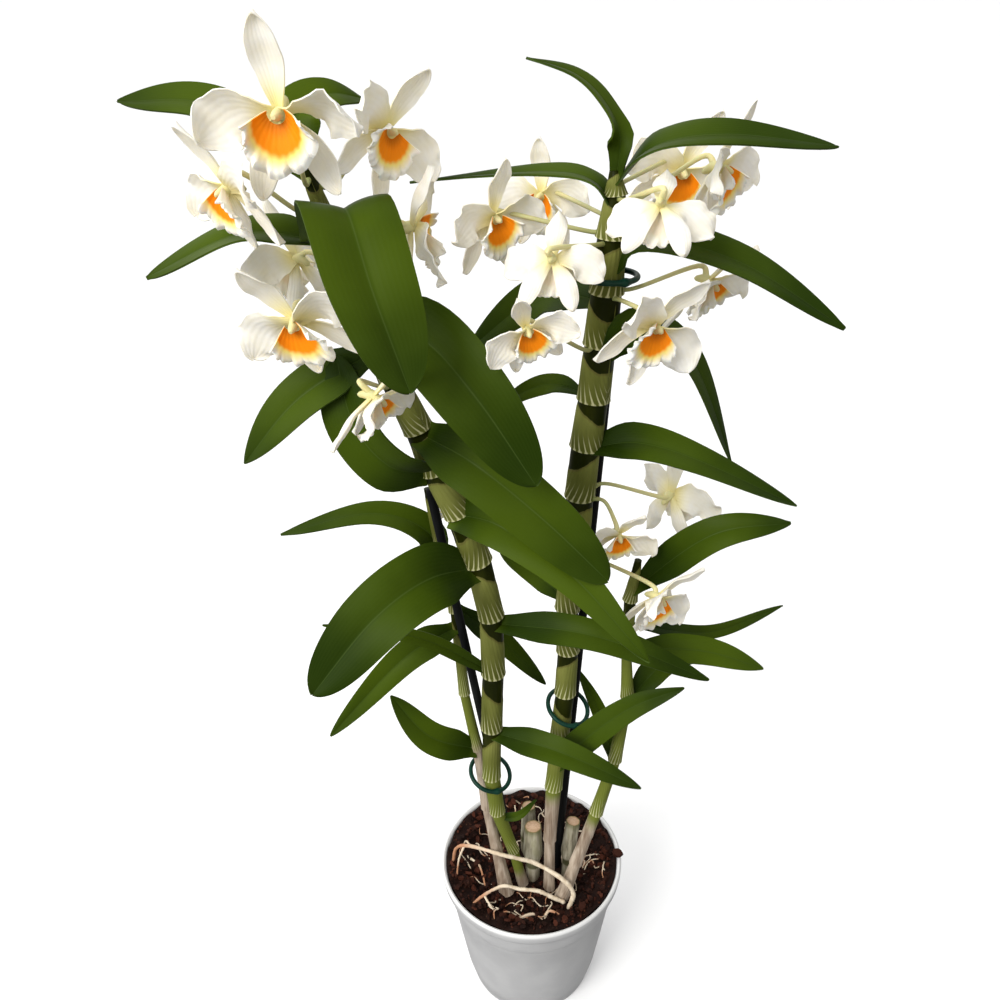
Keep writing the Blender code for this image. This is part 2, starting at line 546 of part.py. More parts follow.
def make_clip(name, collection, material):
    """A thin ring that ties a cane to its stake."""
    centre, radius, tilt_x, tilt_y = CLIPS[name]
    bpy.ops.mesh.primitive_torus_add(
        major_radius=radius, minor_radius=CLIP_WIRE, major_segments=16, minor_segments=4,
        location=centre, rotation=(math.radians(tilt_x), math.radians(tilt_y), 0))
    clip = bpy.context.object
    clip.name = name
    for owner in list(clip.users_collection):
        owner.objects.unlink(clip)
    collection.objects.link(clip)
    clip.data.materials.append(material)
    clip.data.shade_smooth()
    return clip


def make_stem(name, collection, material, rows, resolution):
    """A plain stem such as a stump."""
    rows = stem_points(rows)
    stem = make_tube(name, collection, [row[:3] for row in rows], [row[3] for row in rows], resolution)
    stem.data.materials.append(material)
    shade(stem.data)
    return stem


def main():
    clear_scene()
    orchid = new_collection("dendrobium_orchid")
    cutters = new_collection("cutters")

    plastic = make_material("white plastic", (0.82, 0.82, 0.83), 0.35)
    bark = make_material("bark", (0.055, 0.018, 0.010), 0.9)
    green = make_material("cane and leaf", (0.045, 0.110, 0.016), 0.35)
    dry = make_material("dry cane", (0.32, 0.27, 0.19), 0.7)
    black = make_material("black plastic", (0.012, 0.014, 0.014), 0.4)
    dark_green = make_material("green plastic", (0.004, 0.050, 0.030), 0.3)
    pale = make_material("root", (0.62, 0.45, 0.27), 0.65)
    white = make_material("tepal", (0.86, 0.83, 0.74), 0.5)
    orange = make_material("lip", (0.95, 0.50, 0.08), 0.5)

    make_pot(orchid, plastic)
    for name in CANES:
        make_cane(name, orchid, green)
    for name, rows in STUMPS.items():
        make_stem(name, orchid, dry, rows, 2)
    for name, points in STAKES.items():
        stake = make_tube(name, orchid, points, [STAKE_RADIUS] * 2, 2)
        stake.data.materials.append(black)
        shade(stake.data)
    for name in CLIPS:
        make_clip(name, orchid, dark_green)
    for name, (points, radius) in ROOTS.items():
        count = round(1.5 * len(points))
        route = [smooth_point(points, k / (count - 1)) for k in range(count)]
        radii = [radius * (1 - 0.35 * k / (count - 1)) for k in range(count)]
        root = make_tube(name, orchid, route, radii, 1)
        root.data.materials.append(pale)
        shade(root.data, 60)
    for number, row in enumerate(BLOOMS, start=1):
        make_bloom(number, row, orchid, white, orange)

    for name, rows in {**CANES, **STUMPS}.items():
        points = stem_points(rows)[:3]
        foot, neck, top = (Vector(point[:3]) for point in points)
        ends = [foot + (foot - neck).normalized() * GAP, neck, neck.lerp(top, 0.5)]
        radii = [points[0][3] + GAP, points[1][3] + GAP, points[1][3] * 1.15 + GAP]
        make_tube(name + "_hole", cutters, ends, radii, 2)
    for name, (foot, top) in STAKES.items():
        foot, top = Vector(foot), Vector(top)
        lean = (top - foot).normalized()
        make_tube(name + "_hole", cutters, [foot - lean * GAP, foot + lean * 0.09], [STAKE_RADIUS + GAP] * 2, 2)
    for cutter in cutters.objects:
        cutter.hide_render = True
        cutter.display_type = "WIRE"
    make_substrate(orchid, bark, cutters)


main()
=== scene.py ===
# %% [markdown]
# # A dendrobium orchid in its nursery pot
# The imported solids carry the plant's size and weight. This file dresses them: each leaf, bloom,
# sheath and chip of bark is grown again here with a finer surface, in the same frame, so every
# piece lands where its solid stands. Load the frame first. The dressed plant may not grow past
# it.

# %% Load the frame
import math

import bpy
import numpy as np
from mathutils import Matrix, Vector


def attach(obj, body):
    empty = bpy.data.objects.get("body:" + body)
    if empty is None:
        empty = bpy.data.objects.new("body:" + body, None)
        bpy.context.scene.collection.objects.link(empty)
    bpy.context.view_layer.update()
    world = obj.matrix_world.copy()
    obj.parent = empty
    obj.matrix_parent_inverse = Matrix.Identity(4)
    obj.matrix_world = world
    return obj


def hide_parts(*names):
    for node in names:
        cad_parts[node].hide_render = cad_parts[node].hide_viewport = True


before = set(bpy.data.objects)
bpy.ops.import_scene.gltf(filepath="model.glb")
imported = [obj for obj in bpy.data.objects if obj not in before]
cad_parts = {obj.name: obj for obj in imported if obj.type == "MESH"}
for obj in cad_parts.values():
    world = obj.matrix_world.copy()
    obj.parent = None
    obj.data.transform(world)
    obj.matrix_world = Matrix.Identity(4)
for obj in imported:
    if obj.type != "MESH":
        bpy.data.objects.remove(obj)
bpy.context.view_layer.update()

# %% [markdown]
# ## Camera
# The plant is seen from a little above, so the lens looks down by 29.5 degrees and sits close
# enough to spread the upper blooms. The view transform is the plain one: the plant is lit evenly on
# white, and a filmic curve would turn that white grey and wash out the greens.

# %% Camera
LENS = 31.9
LENS_SHIFT = -0.0315
LOOK_DOWN = 29.5
CAMERA_PLACE = (0, -0.416, 0.630)


def put(name, data):
    """An object made from its data and linked to the scene."""
    made = bpy.data.objects.new(name, data)
    bpy.context.scene.collection.objects.link(made)
    return made


eye = bpy.data.cameras.new("eye")
eye.lens = LENS
eye.sensor_width = 36
eye.shift_x = LENS_SHIFT
eye.clip_start = 0.02
eye.clip_end = 2000
camera = put("camera", eye)
camera.location = CAMERA_PLACE
camera.rotation_euler = (math.radians(90 - LOOK_DOWN), 0, 0)
bpy.context.scene.camera = camera
bpy.context.scene.view_settings.view_transform = "Standard"
print("camera looks down by", LOOK_DOWN, "degrees")

# %% [markdown]
# ## Paint that reads like sums
# A material is a graph of nodes. Wrapping a socket in a small class lets a mask be written as a
# sum: each operator adds one Math node, and every other node comes from one method that takes
# its type, its settings and what its sockets hold.


# %% Paint
class Paint:
    """A socket in a material. Sums and products of paints add Math nodes."""

    def __init__(self, tree, socket=None):
        self.tree, self.socket = tree, socket

    def node(self, kind, settings=None, sockets=None, output=0):
        made = self.tree.nodes.new("ShaderNode" + kind)
        for key, value in (settings or {}).items():
            if key == "stops":
                ramp = made.color_ramp
                while len(ramp.elements) < len(value):
                    ramp.elements.new(0.5)
                for stop, (place, colour) in zip(ramp.elements, value):
                    stop.position, stop.color = place, (*colour, 1)
            else:
                setattr(made, key, value)
        for key, value in (sockets or {}).items():
            if isinstance(value, Paint):
                self.tree.links.new(value.socket, made.inputs[key])
            else:
                made.inputs[key].default_value = value
        return Paint(self.tree, made.outputs[output])

    def maths(self, operation, *others, first=True):
        pair = (self, *others) if first else (*others, self)
        return self.node("Math", {"operation": operation}, dict(enumerate(pair)))

    def __add__(self, other):
        return self.maths("ADD", other)

    def __mul__(self, other):
        return self.maths("MULTIPLY", other)

    def __sub__(self, other):
        return self.maths("SUBTRACT", other)

    def __rsub__(self, other):
        return self.maths("SUBTRACT", other, first=False)

    __radd__ = __add__
    __rmul__ = __mul__

    def step(self, low, high):
        """0 below low, 1 above high, and a soft slope between them."""
        settings = {"interpolation_type": "SMOOTHSTEP"}
        return self.node("MapRange", settings, {"Value": self, "From Min": low, "From Max": high})

    def blend(self, off, on):
        """The colour off where this mask is 0, and the colour on where it is 1."""
        pair = [c if isinstance(c, Paint) else (*c, 1) for c in (off, on)]
        sockets = {"Factor": self, 6: pair[0], 7: pair[1]}
        return self.node("Mix", {"data_type": "RGBA"}, sockets, output=2)


def start_material(name):
    """A new material, and a paint to write its masks with."""
    material = bpy.data.materials.new(name)
    material.use_nodes = True
    return material, Paint(material.node_tree)


def finish_material(material, gloss, colour=None, roughness=None, height=None, depth=0.001):
    """Sets the even values on the shader and links what changes over the surface."""
    shader = material.node_tree.nodes["Principled BSDF"]
    for key, value in gloss.items():
        shader.inputs[key].default_value = value
    links = material.node_tree.links
    if colour:
        links.new(colour.socket, shader.inputs["Base Color"])
    if roughness:
        links.new(roughness.socket, shader.inputs["Roughness"])
    if height:
        bump = height.node("Bump", {}, {"Strength": 0.6, "Distance": depth, "Height": height})
        links.new(bump.socket, shader.inputs["Normal"])
    print("material:", material.name)
    return material


# %% [markdown]
# ## Shapes from sheets and tubes
# A leaf, a petal and a lip are all thin sheets, and a cane, a stalk and a root are all tubes.
# Both are grids of points, which numpy handles at once. A shape collects grids into one mesh and
# stores a few numbers at every point, such as how far along the leaf it lies, for the paint to read.

# %% Smooth paths
CHANNELS = ("across", "along", "face", "tone")
SHARP_ANGLE = 50


def metres(table):
    """Millimetres turned into metres, for one number or for a whole table."""
    return np.array(table, float) / 1000


def smooth_path(points, steps):
    """Points on the smooth curve that runs through all the given ones, with steps from 0 to 1."""
    points = np.array([tuple(p) for p in points], float)
    spans = len(points) - 1
    knots = np.vstack([2 * points[0] - points[1], points, 2 * points[-1] - points[-2]])
    steps = np.clip(np.asarray(steps, float), 0, 1)
    span = np.minimum((steps * spans).astype(int), spans - 1)
    u = (steps * spans - span)[:, None]
    before, start, end, after = (knots[span + k] for k in range(4))
    leave, arrive = (end - before) / 2, (after - start) / 2
    return (start * (2 * u**3 - 3 * u**2 + 1) + leave * (u**3 - 2 * u**2 + u)
            + end * (3 * u**2 - 2 * u**3) + arrive * (u**3 - u**2))


def unit(rows):
    """Each row drawn out or in to length 1."""
    return rows / np.maximum(np.linalg.norm(rows, axis=-1, keepdims=True), 1e-12)


def full_turn(sides):
    """Angles evenly round a ring."""
    return np.arange(sides) * 2 * math.pi / sides


def circle(radius, height, turn):
    """A level ring of points."""
    level = np.broadcast_to(height, turn.shape)
    return np.stack([radius * np.cos(turn), radius * np.sin(turn), level], axis=1)


def ease(value):
    """A soft step from 0 to 1."""
    value = np.clip(value, 0, 1)
    return value * value * (3 - 2 * value)


def blade_grid(points, steps, face, flat, lift):
    """A grid spread flat to both sides of a midrib and lifted towards the way it faces."""
    reach = 0.02
    run = unit(smooth_path(points, steps + reach) - smooth_path(points, steps - reach))
    face = np.array(face, float)
    normal = unit(face - run * (run @ face)[:, None])
    spine, side = smooth_path(points, steps), np.cross(run, normal)
    return spine[:, None] + side[:, None] * flat[..., None] + normal[:, None] * lift[..., None]


# %% The shape that collects grids
class Shape:
    """Sheets and tubes gathered into one mesh, with numbers at its points for the paint."""

    def __init__(self):
        self.points, self.faces, self.slots, self.numbers = [], [], [], []
        self.count = 0

    def add(self, points, faces, slot, channels):
        points = points.reshape(-1, 3)
        values = [np.broadcast_to(channels.get(name, 0.0), len(points)) for name in CHANNELS]
        self.points.append(points)
        self.numbers.append(np.stack(values, axis=1))
        self.faces += [tuple(int(corner) + self.count for corner in face) for face in faces]
        self.slots += [slot] * len(faces)
        self.count += len(points)

    def sheet(self, grid, thickness, slot, across, along, tone=0.0):
        """A thin solid from a grid of points, rows along it and columns across."""
        rows, columns = grid.shape[:2]
        run, over = np.gradient(grid, axis=0), np.gradient(grid, axis=1)
        normal = unit(np.cross(over, run)) * thickness / 2
        index = np.arange(rows * columns).reshape(rows, columns)
        a, b = index[:-1, :-1].ravel(), index[:-1, 1:].ravel()
        c, d = index[1:, 1:].ravel(), index[1:, :-1].ravel()
        top, low = np.stack([a, b, c, d], axis=1), rows * columns
        under = top[:, ::-1] + low
        rim = np.concatenate([index[0, :-1], index[:-1, -1], index[-1, :0:-1], index[:0:-1, 0]])
        after = np.roll(rim, -1)
        edge = np.stack([rim + low, after + low, after, rim], axis=1)
        flat = {"across": np.tile(across.ravel(), 2), "along": np.tile(along.ravel(), 2),
                "face": np.repeat([1.0, 0.0], low), "tone": tone}
        self.add(np.concatenate([grid + normal, grid - normal]), [*top, *under, *edge], slot, flat)

    def rings(self, grid, slot, channels, closed_start=True):
        """Rings of points joined into a skin, with a face over the last ring and the first."""
        rows, sides = grid.shape[:2]
        index = np.arange(rows * sides).reshape(rows, sides)
        over = np.roll(index, -1, axis=1)
        wall = np.stack([index[:-1], over[:-1], over[1:], index[1:]], axis=-1).reshape(-1, 4)
        ends = [index[0, ::-1], index[-1]] if closed_start else [index[-1]]
        self.add(grid, [*wall, *ends], slot, channels)

    def tube(self, path, radii, sides, slot, tone=0.0, along=None, start=(1, 0, 0), across=None):
        """A closed tube along a path. The radii may differ from side to side."""
        count = len(path)
        run = unit(np.gradient(path, axis=0))
        turn = full_turn(sides)
        radii = np.broadcast_to(np.asarray(radii, float).reshape(count, -1), (count, sides))
        right = np.array(start, float)
        rings = []
        for k in range(count):
            right = unit(right - run[k] * (right @ run[k]))
            ahead = np.cross(run[k], right)
            spoke = np.cos(turn)[:, None] * right + np.sin(turn)[:, None] * ahead
            rings.append(path[k] + spoke * radii[k][:, None])
        grid = np.array(rings)
        along = np.linspace(0, 1, count) if along is None else along
        along = np.broadcast_to(np.asarray(along, float).reshape(count, -1), (count, sides))
        across = turn[None] if across is None else across
        flat = {"along": along.ravel(), "tone": tone, "face": 1.0,
                "across": np.broadcast_to(across, (count, sides)).ravel()}
        self.rings(grid, slot, flat)
        return grid

    def build(self, name, materials, nodes=(), slot=None):
        """The finished object, riding on the plant and standing for its solids."""
        mesh = bpy.data.meshes.new(name)
        points = np.concatenate(self.points)
        mesh.from_pydata(points.tolist(), [], self.faces)
        numbers = np.concatenate(self.numbers)
        for column, channel in enumerate(CHANNELS):
            layer = mesh.attributes.new(channel, "FLOAT", "POINT")
            layer.data.foreach_set("value", np.ascontiguousarray(numbers[:, column], np.float32))
        for material in materials:
            mesh.materials.append(material)
        mesh.polygons.foreach_set("material_index", self.slots)
        mesh.shade_smooth()
        mesh.set_sharp_from_angle(angle=math.radians(SHARP_ANGLE))
        piece = put(name, mesh)
        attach(piece, "root")
        if nodes:
            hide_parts(*nodes)
        print(name, len(self.faces), "faces")
        return piece


def channel(paint, name):
    """One of the numbers that a shape stores at its points."""
    return paint.node("Attribute", {"attribute_name": name}, output="Fac")


def grain(paint, scale, detail=3, stretch=(1, 1, 1)):
    """Soft cloudy noise fixed to the object, pulled out along an axis if stretch says so."""
    place = paint.node("TexCoord", output="Object")
    place = place.node("Mapping", {}, {"Vector": place, "Scale": stretch})
    return place.node("TexNoise", {}, {"Vector": place, "Scale": scale, "Detail": detail})


# %% [markdown]
# ## The pot
# The pot is one turned shell of white plastic. Its outline gives the radius and the height of each
# ring: up the inside wall, over the rolled rim and down to the foot. It is spun in far finer steps
# than the solid, so the rim reads as round. The tables here and below are in millimetres.

# %% Pot
POT_PROFILE = metres([
    (40, 3), (44.9, 18), (58.5, 104), (59.4, 108.3), (60.1, 109.6), (61.1, 110), (61.9, 109.5),
    (62.4, 108.4), (62.3, 106), (61.9, 103), (61.6, 102.1), (60.6, 101.6), (60.1, 100.8),
    (59.7, 98.5), (58.5, 92.5), (57.7, 87.3), (57.3, 86.2), (56.7, 85.2), (56.7, 83.2), (56.2, 82),
    (52, 50), (47.6, 19), (47, 16), (45.5, 9), (45.1, 8), (44.6, 7.4), (44.1, 3), (43.6, 0.8),
    (42.8, 0),
])
POT_SIDES = 160

material, paint = start_material("white pot plastic")
mottle = grain(paint, 60, 4)
upward = paint.node("TexCoord", output="Object")
# The top of the rim is the same white plastic as the wall, painted paler: a painted highlight where the
# light from above falls on it.
rim_painted_highlight = upward.node("SeparateXYZ", {}, {"Vector": upward}, output="Z").step(0.1072, 0.1090)
wall = mottle.step(0.3, 0.7).blend((0.48, 0.48, 0.483), (0.53, 0.53, 0.53))
# Where that mask is 1, the rim takes the paler painted highlight colour.
pot_white = finish_material(
    material, {"Specular IOR Level": 0.25, "Coat Weight": 0.04, "Coat Roughness": 0.3},
    colour=rim_painted_highlight.blend(wall, (0.72, 0.72, 0.71)),
    roughness=0.30 + mottle * 0.16, height=grain(paint, 220, 2), depth=0.00015)

# The outline starts on the inside, so its rings turn the other way round for the skin to face out.
pot = Shape()
pot.rings(np.array([circle(*row, -full_turn(POT_SIDES)) for row in POT_PROFILE]), 0, {})
pot.build("pot_shell", [pot_white], ["pot"], "pot")

# %% [markdown]
# ## Canes in papery sheaths
# A cane is a stack of joints. From every joint a sheath wraps the cane: a pale toothed hem at the
# bottom, fine veins that run up, and a slanted mouth that is highest where a leaf leaves it. Above
# the mouth the bare cane shows dark. One tube carries all of it, because the sheath hugs the cane:
# the radius swells at the hem, and the paint reads where each point lies between two joints. Each
# row of the table is one joint: its place and its radius.

# %% Where the canes stand
CANES = {
    "cane_a": [
        (-6, -13, 98, 3.2), (-12, -14, 132, 3.1), (-22, -16, 172, 4.2), (-25, -17, 205, 5),
        (-24, -19, 248, 5.8), (-22, -21, 292, 6.3), (-22, -24, 335, 6.5), (-28, -26, 372, 7),
        (-37, -28, 403, 7), (-47, -29, 428, 7), (-54, -31, 451, 6.7), (-64, -32, 477, 6.2),
        (-73, -33, 502, 5.5), (-80, -34, 527, 4.5), (-86, -35, 550, 3.4), (-92, -36, 570, 2.6),
    ],
    "cane_b": [
        (12, -17, 98, 3.2), (12, -16.5, 146, 3.4), (14, -15, 193, 4.8), (17, -14, 234, 5.3),
        (20, -14, 271, 5.7), (21, -14, 303, 6), (20, -14, 333, 6.3), (23, -15, 369, 6.9),
        (25, -16, 406, 7.3), (27, -17, 435, 7.4), (30, -18, 461, 7.5), (32, -19, 489, 7.4),
        (34, -20, 514, 7.3), (35, -21, 539, 6.4), (36, -22, 557, 4.5), (35, -22, 567, 2.2),
    ],
    "cane_c": [
        (21, -24, 98, 4.6), (29, -24, 132, 3.4), (41, -23, 179, 3.6), (51, -22, 224, 3.4),
        (56, -22, 275, 3.3), (54, -21, 305, 2.7), (54, -20, 343, 3.4), (57, -20, 369, 2),
    ],
    "cane_d": [
        (-17, -20, 98, 4.6), (-23, -15, 133, 3.3), (-29, -11, 170, 3), (-34, -7, 218, 2.9),
        (-41, -2, 259, 2.7), (-45, 3, 318, 2.6), (-51, 5, 358, 3), (-57, 7, 398, 1.8),
    ],
}
CANES = {name: metres(rows) for name, rows in CANES.items()}
print("canes:", {name: len(rows) - 1 for name, rows in CANES.items()}, "joints each")

# %% [markdown]
# ## Leaves
# Each leaf is given by the points its midrib runs through, its width, the way its upper face looks
# and how wide its foot is. The blade folds a little along the midrib, its rim waves slightly, and
# it ends in a rounded tip.

# %% Where the leaves grow
LEAVES = {
    "cane_a": [
        ([(-92, -36, 567), (-128, -28, 592), (-166, -28, 594)], 23, (0, -0.5, 0.85), 0.3),
        ([(-92, -36, 568), (-95.5, -26, 588), (-84, -16, 595.5), (-70.5, -4, 592.5)],
         21, (0.2, -0.55, 0.8), 0.3),
        ([(-87, -35, 540), (-123, -33, 543), (-166, -36, 525)], 23, (0, -0.35, 0.95), 0.3),
        ([(-82, -36, 540), (-71.5, -64, 559), (-59.5, -88, 533), (-46.5, -101.5, 499)],
         37, (0, -0.15, 1), 0.85),
        ([(-72, -34, 498), (-47, -56, 505), (-22.5, -73, 484), (2, -80, 447)],
         34, (-0.2, -0.8, 0.55), 0.6),
        ([(-53, -32, 449), (-26, -56, 445), (6, -66, 421), (36, -71, 391)], 30, (-0.2, -0.8, 0.6), 0.5),
        ([(-39, -29, 403), (-15, -48, 407), (20, -68, 391), (56, -88, 356)], 24, (-0.2, -0.8, 0.6), 0.7),
        ([(-69, -33, 492), (-106, -41, 471), (-134, -47, 441)], 24, (-0.2, -0.8, 0.5), 0.4),
        ([(-48, -30, 427), (-66, -46, 439), (-81, -46, 460), (-88, -36, 489)], 31, (-0.35, -0.9, 0), 0.5),
        ([(-29, -26, 368), (-52, -50, 377), (-77, -70, 367), (-107, -86, 334)],
         35, (0.1, -0.75, 0.65), 0.45),
        ([(-22, -24, 330), (34, -46, 338), (95, -50, 312)], 19, (0.1, -0.6, 0.8), 0.5),
        ([(-24, -19, 244), (18, -40, 248), (64, -48, 228)], 18, (0.1, -0.6, 0.8), 0.5),
        ([(-22, -21, 292), (-61, -32, 326), (-112, -36, 338)], 9, (0.3, -0.8, 0.5), 0.6),
        ([(-20, -16, 167), (-8, -18, 171), (3, -17, 184)], 6, (0.2, -0.7, 0.7), 0.6),
    ],
    "cane_b": [
        ([(36, -22, 561), (36.5, -24, 580), (29, -27, 594), (17, -30, 604), (-2, -34, 610)],
         12.5, (-0.15, -0.35, 0.93), 0.45),
        ([(36, -22, 561), (50, -36, 578), (76, -48, 584), (119, -50, 580)], 20, (0, -0.45, 0.9), 0.3),
        ([(36, -22, 549), (26, -20, 562), (4, -16, 565), (-54, -4, 559)], 17, (0, -0.15, 1), 0.3),
        ([(35, -21, 522), (48, -30, 540), (88, -42, 533), (134, -50, 507)], 23, (0, -0.5, 0.85), 0.3),
        ([(31, -20, 480), (49, -28, 499), (79, -6, 475), (108, 8, 411)], 21, (0.5, -0.6, 0.6), 0.3),
        ([(27, -18, 434), (52, -26, 441), (82, -34, 435), (129, -42, 415)], 22, (0, -0.5, 0.85), 0.4),
        ([(28, -17, 462), (12, -2, 462), (-2, 0, 458), (-18, 3, 446)], 12, (0.2, -0.7, 0.7), 0.2),
        ([(33, -19, 510), (4, 20, 500), (-34, 30, 468)], 24, (-0.2, -0.8, 0.6), 0.4),
        ([(20, -14, 338), (1, 4, 345), (-18, 14, 352)], 15, (0.3, -0.8, 0.5), 0.4),
        ([(15, -15, 210), (30, -26, 243), (56, -34, 277), (85, -38, 296)], 18, (-0.2, -0.8, 0.6), 0.4),
    ],
    "cane_c": [
        ([(56, -22, 272), (83, -8, 292), (124, 4, 289)], 17, (0, -0.5, 0.85), 0.4),
        ([(54, -21, 310), (96, -26, 312), (130, -30, 303)], 18, (0, -0.6, 0.8), 0.4),
        ([(54, -20, 326), (112, 26, 285), (158, 36, 298)], 10, (0.2, -0.7, 0.7), 0.3),
        ([(55, -20, 350), (91, -34, 393), (129, -38, 403)], 20, (-0.1, -0.7, 0.7), 0.4),
        ([(50, -22, 222), (43, 0, 240), (29, 10, 268)], 11, (0.3, -0.9, 0.3), 0.4),
    ],
    "cane_d": [
        ([(-49, 4, 348), (-59, 4, 373), (-88, 0, 386), (-136, -7, 377)], 19, (-0.1, -0.5, 0.85), 0.2),
        ([(-44, 2, 308), (-75, -14, 296), (-119, -28, 250)], 20, (0.2, -0.8, 0.55), 0.4),
        ([(-34, -7, 218), (-62, -18, 240), (-83, -18, 272)], 21, (0.4, -0.8, 0.4), 0.5),
        ([(-45, 3, 322), (-18, 20, 282), (9, 22, 246)], 15, (0.3, -0.85, 0.4), 0.4),
    ],
}
LEAVES = {name: [(metres(points), metres(width), face, neck) for points, width, face, neck in rows]
          for name, rows in LEAVES.items()}
print("leaves:", sum(len(rows) for rows in LEAVES.values()))

# %% [markdown]
# ## The green of leaf and cane
# An orchid leaf is thick and smooth. Its green is deep near the foot and tip and yellower in the
# middle, the midrib is a faint groove with painted shade in it and a paler line, and the veins hardly
# show. So the colour comes from slow noise, and the veins are no more than a whisper of bump.

# %% Leaf paint
material, paint = start_material("leaf green")
across, along = channel(paint, "across"), channel(paint, "along")
face, tone = channel(paint, "face"), channel(paint, "tone")
cloud = grain(paint, 22, 3)
veins = (across * 52 + cloud * 3).maths("SINE") * 0.5 + 0.5
rib = across.maths("ABSOLUTE")
midrib, groove_dent_and_shade = 1 - rib.step(0.006, 0.03), 1 - rib.step(0.0, 0.14)
middle = along.step(0.08, 0.45) * (1 - along.step(0.55, 0.98) * 0.7)
bright = (middle * 0.65 + cloud * 0.7 - 0.35 + tone * 0.8).step(0.0, 1.0)
green = bright.blend((0.014, 0.029, 0.0012), (0.056, 0.090, 0.003))
green = (cloud.step(0.45, 0.75) * 0.4).blend(green, (0.036, 0.062, 0.008))
green = (veins * 0.06).blend(green, (0.055, 0.090, 0.015))
# The groove along the midrib is painted a darker green: painted shade in the crease. The same mask also
# dents the bump below.
green = (groove_dent_and_shade * 0.25).blend(green, (0.016, 0.038, 0.004))
green = (midrib * 0.25).blend(green, (0.100, 0.140, 0.035))
green = ((1 - face) * 0.70).blend(green, (0.075, 0.120, 0.030))
green = ((1 - along.step(0.0, 0.10)) * 0.45).blend(green, (0.100, 0.150, 0.012))
leaf_green = finish_material(
    material, {"IOR": 1.42, "Specular IOR Level": 0.06},
    colour=green, roughness=0.36 + cloud * 0.16,
    height=veins * 0.12 + cloud * 0.5 - groove_dent_and_shade * 0.6, depth=0.00022)

# %% [markdown]
# ## Sheath and skin
# The paint of a cane reads two numbers: how far round the cane a point lies from the side of its
# leaf, and how far up between two joints. From these it works out the sheath's slanted mouth, the
# pale ribs that fan up from the hem, and the dark skin above. Kept in the paint, these edges stay
# crisp whatever the mesh. The lowest joints have lost their green and dried to straw.

# %% Cane paint
MOUTH_MIDDLE = 0.72
MOUTH_SLANT = 0.16
GREEN_MOUTH = 0.5
SHEATH_RIBS = 15

material, paint = start_material("cane skin and sheath")
around, rise = channel(paint, "across"), channel(paint, "along")
green_share, dry = channel(paint, "face"), channel(paint, "tone")
cloud = grain(paint, 90, 4, (1, 1, 0.25))
fine = grain(paint, 420, 2, (1, 1, 0.12))
mouth = MOUTH_MIDDLE + around.maths("COSINE") * MOUTH_SLANT + (cloud - 0.5) * 0.22
mouth = mouth + green_share * GREEN_MOUTH
sheath = 1 - (rise - mouth).step(0.0, 0.02)
rim = sheath * (rise - mouth).step(-0.05, 0.0)
wave = (around * (1 + rise * 0.7) * SHEATH_RIBS + cloud * 7).maths("COSINE") * 0.5 + 0.5
ribs = (wave - (0.66 + rise * 0.75)).step(0.0, 0.26) * sheath
hem = (1 - rise.step(0.01, 0.06)) * wave.step(0.15, 0.6)
skin = cloud.step(0.35, 0.75).blend((0.010, 0.013, 0.0010), (0.026, 0.030, 0.0020))
paper = (cloud * 0.75 + rise * 0.35).step(0.25, 0.85)
paper = paper.blend((0.085, 0.095, 0.016), (0.215, 0.225, 0.055))
paper = green_share.blend(paper, (0.140, 0.165, 0.026))
straw = (cloud * 0.6 + fine * 0.4).step(0.32, 0.68).blend((0.200, 0.140, 0.095), (0.560, 0.470, 0.370))
colour = sheath.blend(skin, paper)
colour = (rim * 0.55).blend(colour, (0.090, 0.070, 0.022))
colour = (ribs * 0.75).maths("MAXIMUM", hem * 0.65).blend(colour, (0.620, 0.600, 0.340))
colour = (dry * (0.72 + cloud * 0.5)).step(0.20, 0.85).blend(colour, straw)
cane_skin = finish_material(
    material, {"IOR": 1.42, "Specular IOR Level": 0.08}, colour=colour,
    roughness=0.34 + sheath * 0.22 + dry * 0.25,
    height=wave * sheath * 0.35 + sheath * 0.8 + cloud * 0.3 + fine * dry * 0.5, depth=0.0005)

# %% [markdown]
# ## Growing a cane
# The rings of a cane lie close together where the hem springs out and further apart above it. The
# side that a sheath's mouth rises to is the side that its leaf leaves from; a joint with no leaf
# faces the other way from the joint below.

# %% Cane builder
JOINT_BULGE = 0.04
SHEATH_LIFT = 0.00028
HEM_LIFT = 0.0008
CANE_SIDES = 44
RING_SHARES = (0.003, 0.010, 0.03, 0.07, 0.13, 0.22, 0.32, 0.42, 0.52, 0.62, 0.72, 0.82, 0.92, 0.997)
STEM_DEPTH = 0.028
SKIN_SHARE = 0.965
SKIN_SWELL = 0.02
LEAFY_WIDTH = 0.008
DRY_BELOW = {"cane_a": 0.112, "cane_b": 0.186, "cane_c": 0.172, "cane_d": 0.222}
GREEN_BELOW = {"cane_a": 0.215, "cane_b": 0.215, "cane_c": 0.330, "cane_d": 0.280}


def leaf_sides(name):
    """For each span of a cane, the compass angle that its sheath's mouth rises to."""
    rows, sides = CANES[name], []
    for low, high in zip(rows, rows[1:]):
        angle = sides[-1] + math.pi if sides else 0.4
        for points, width, _, _ in LEAVES[name]:
            if low[2] <= points[0][2] < high[2] and width > LEAFY_WIDTH:
                angle = math.atan2(points[1][1] - points[0][1], points[1][0] - points[0][0])
        sides.append(angle)
    return sides


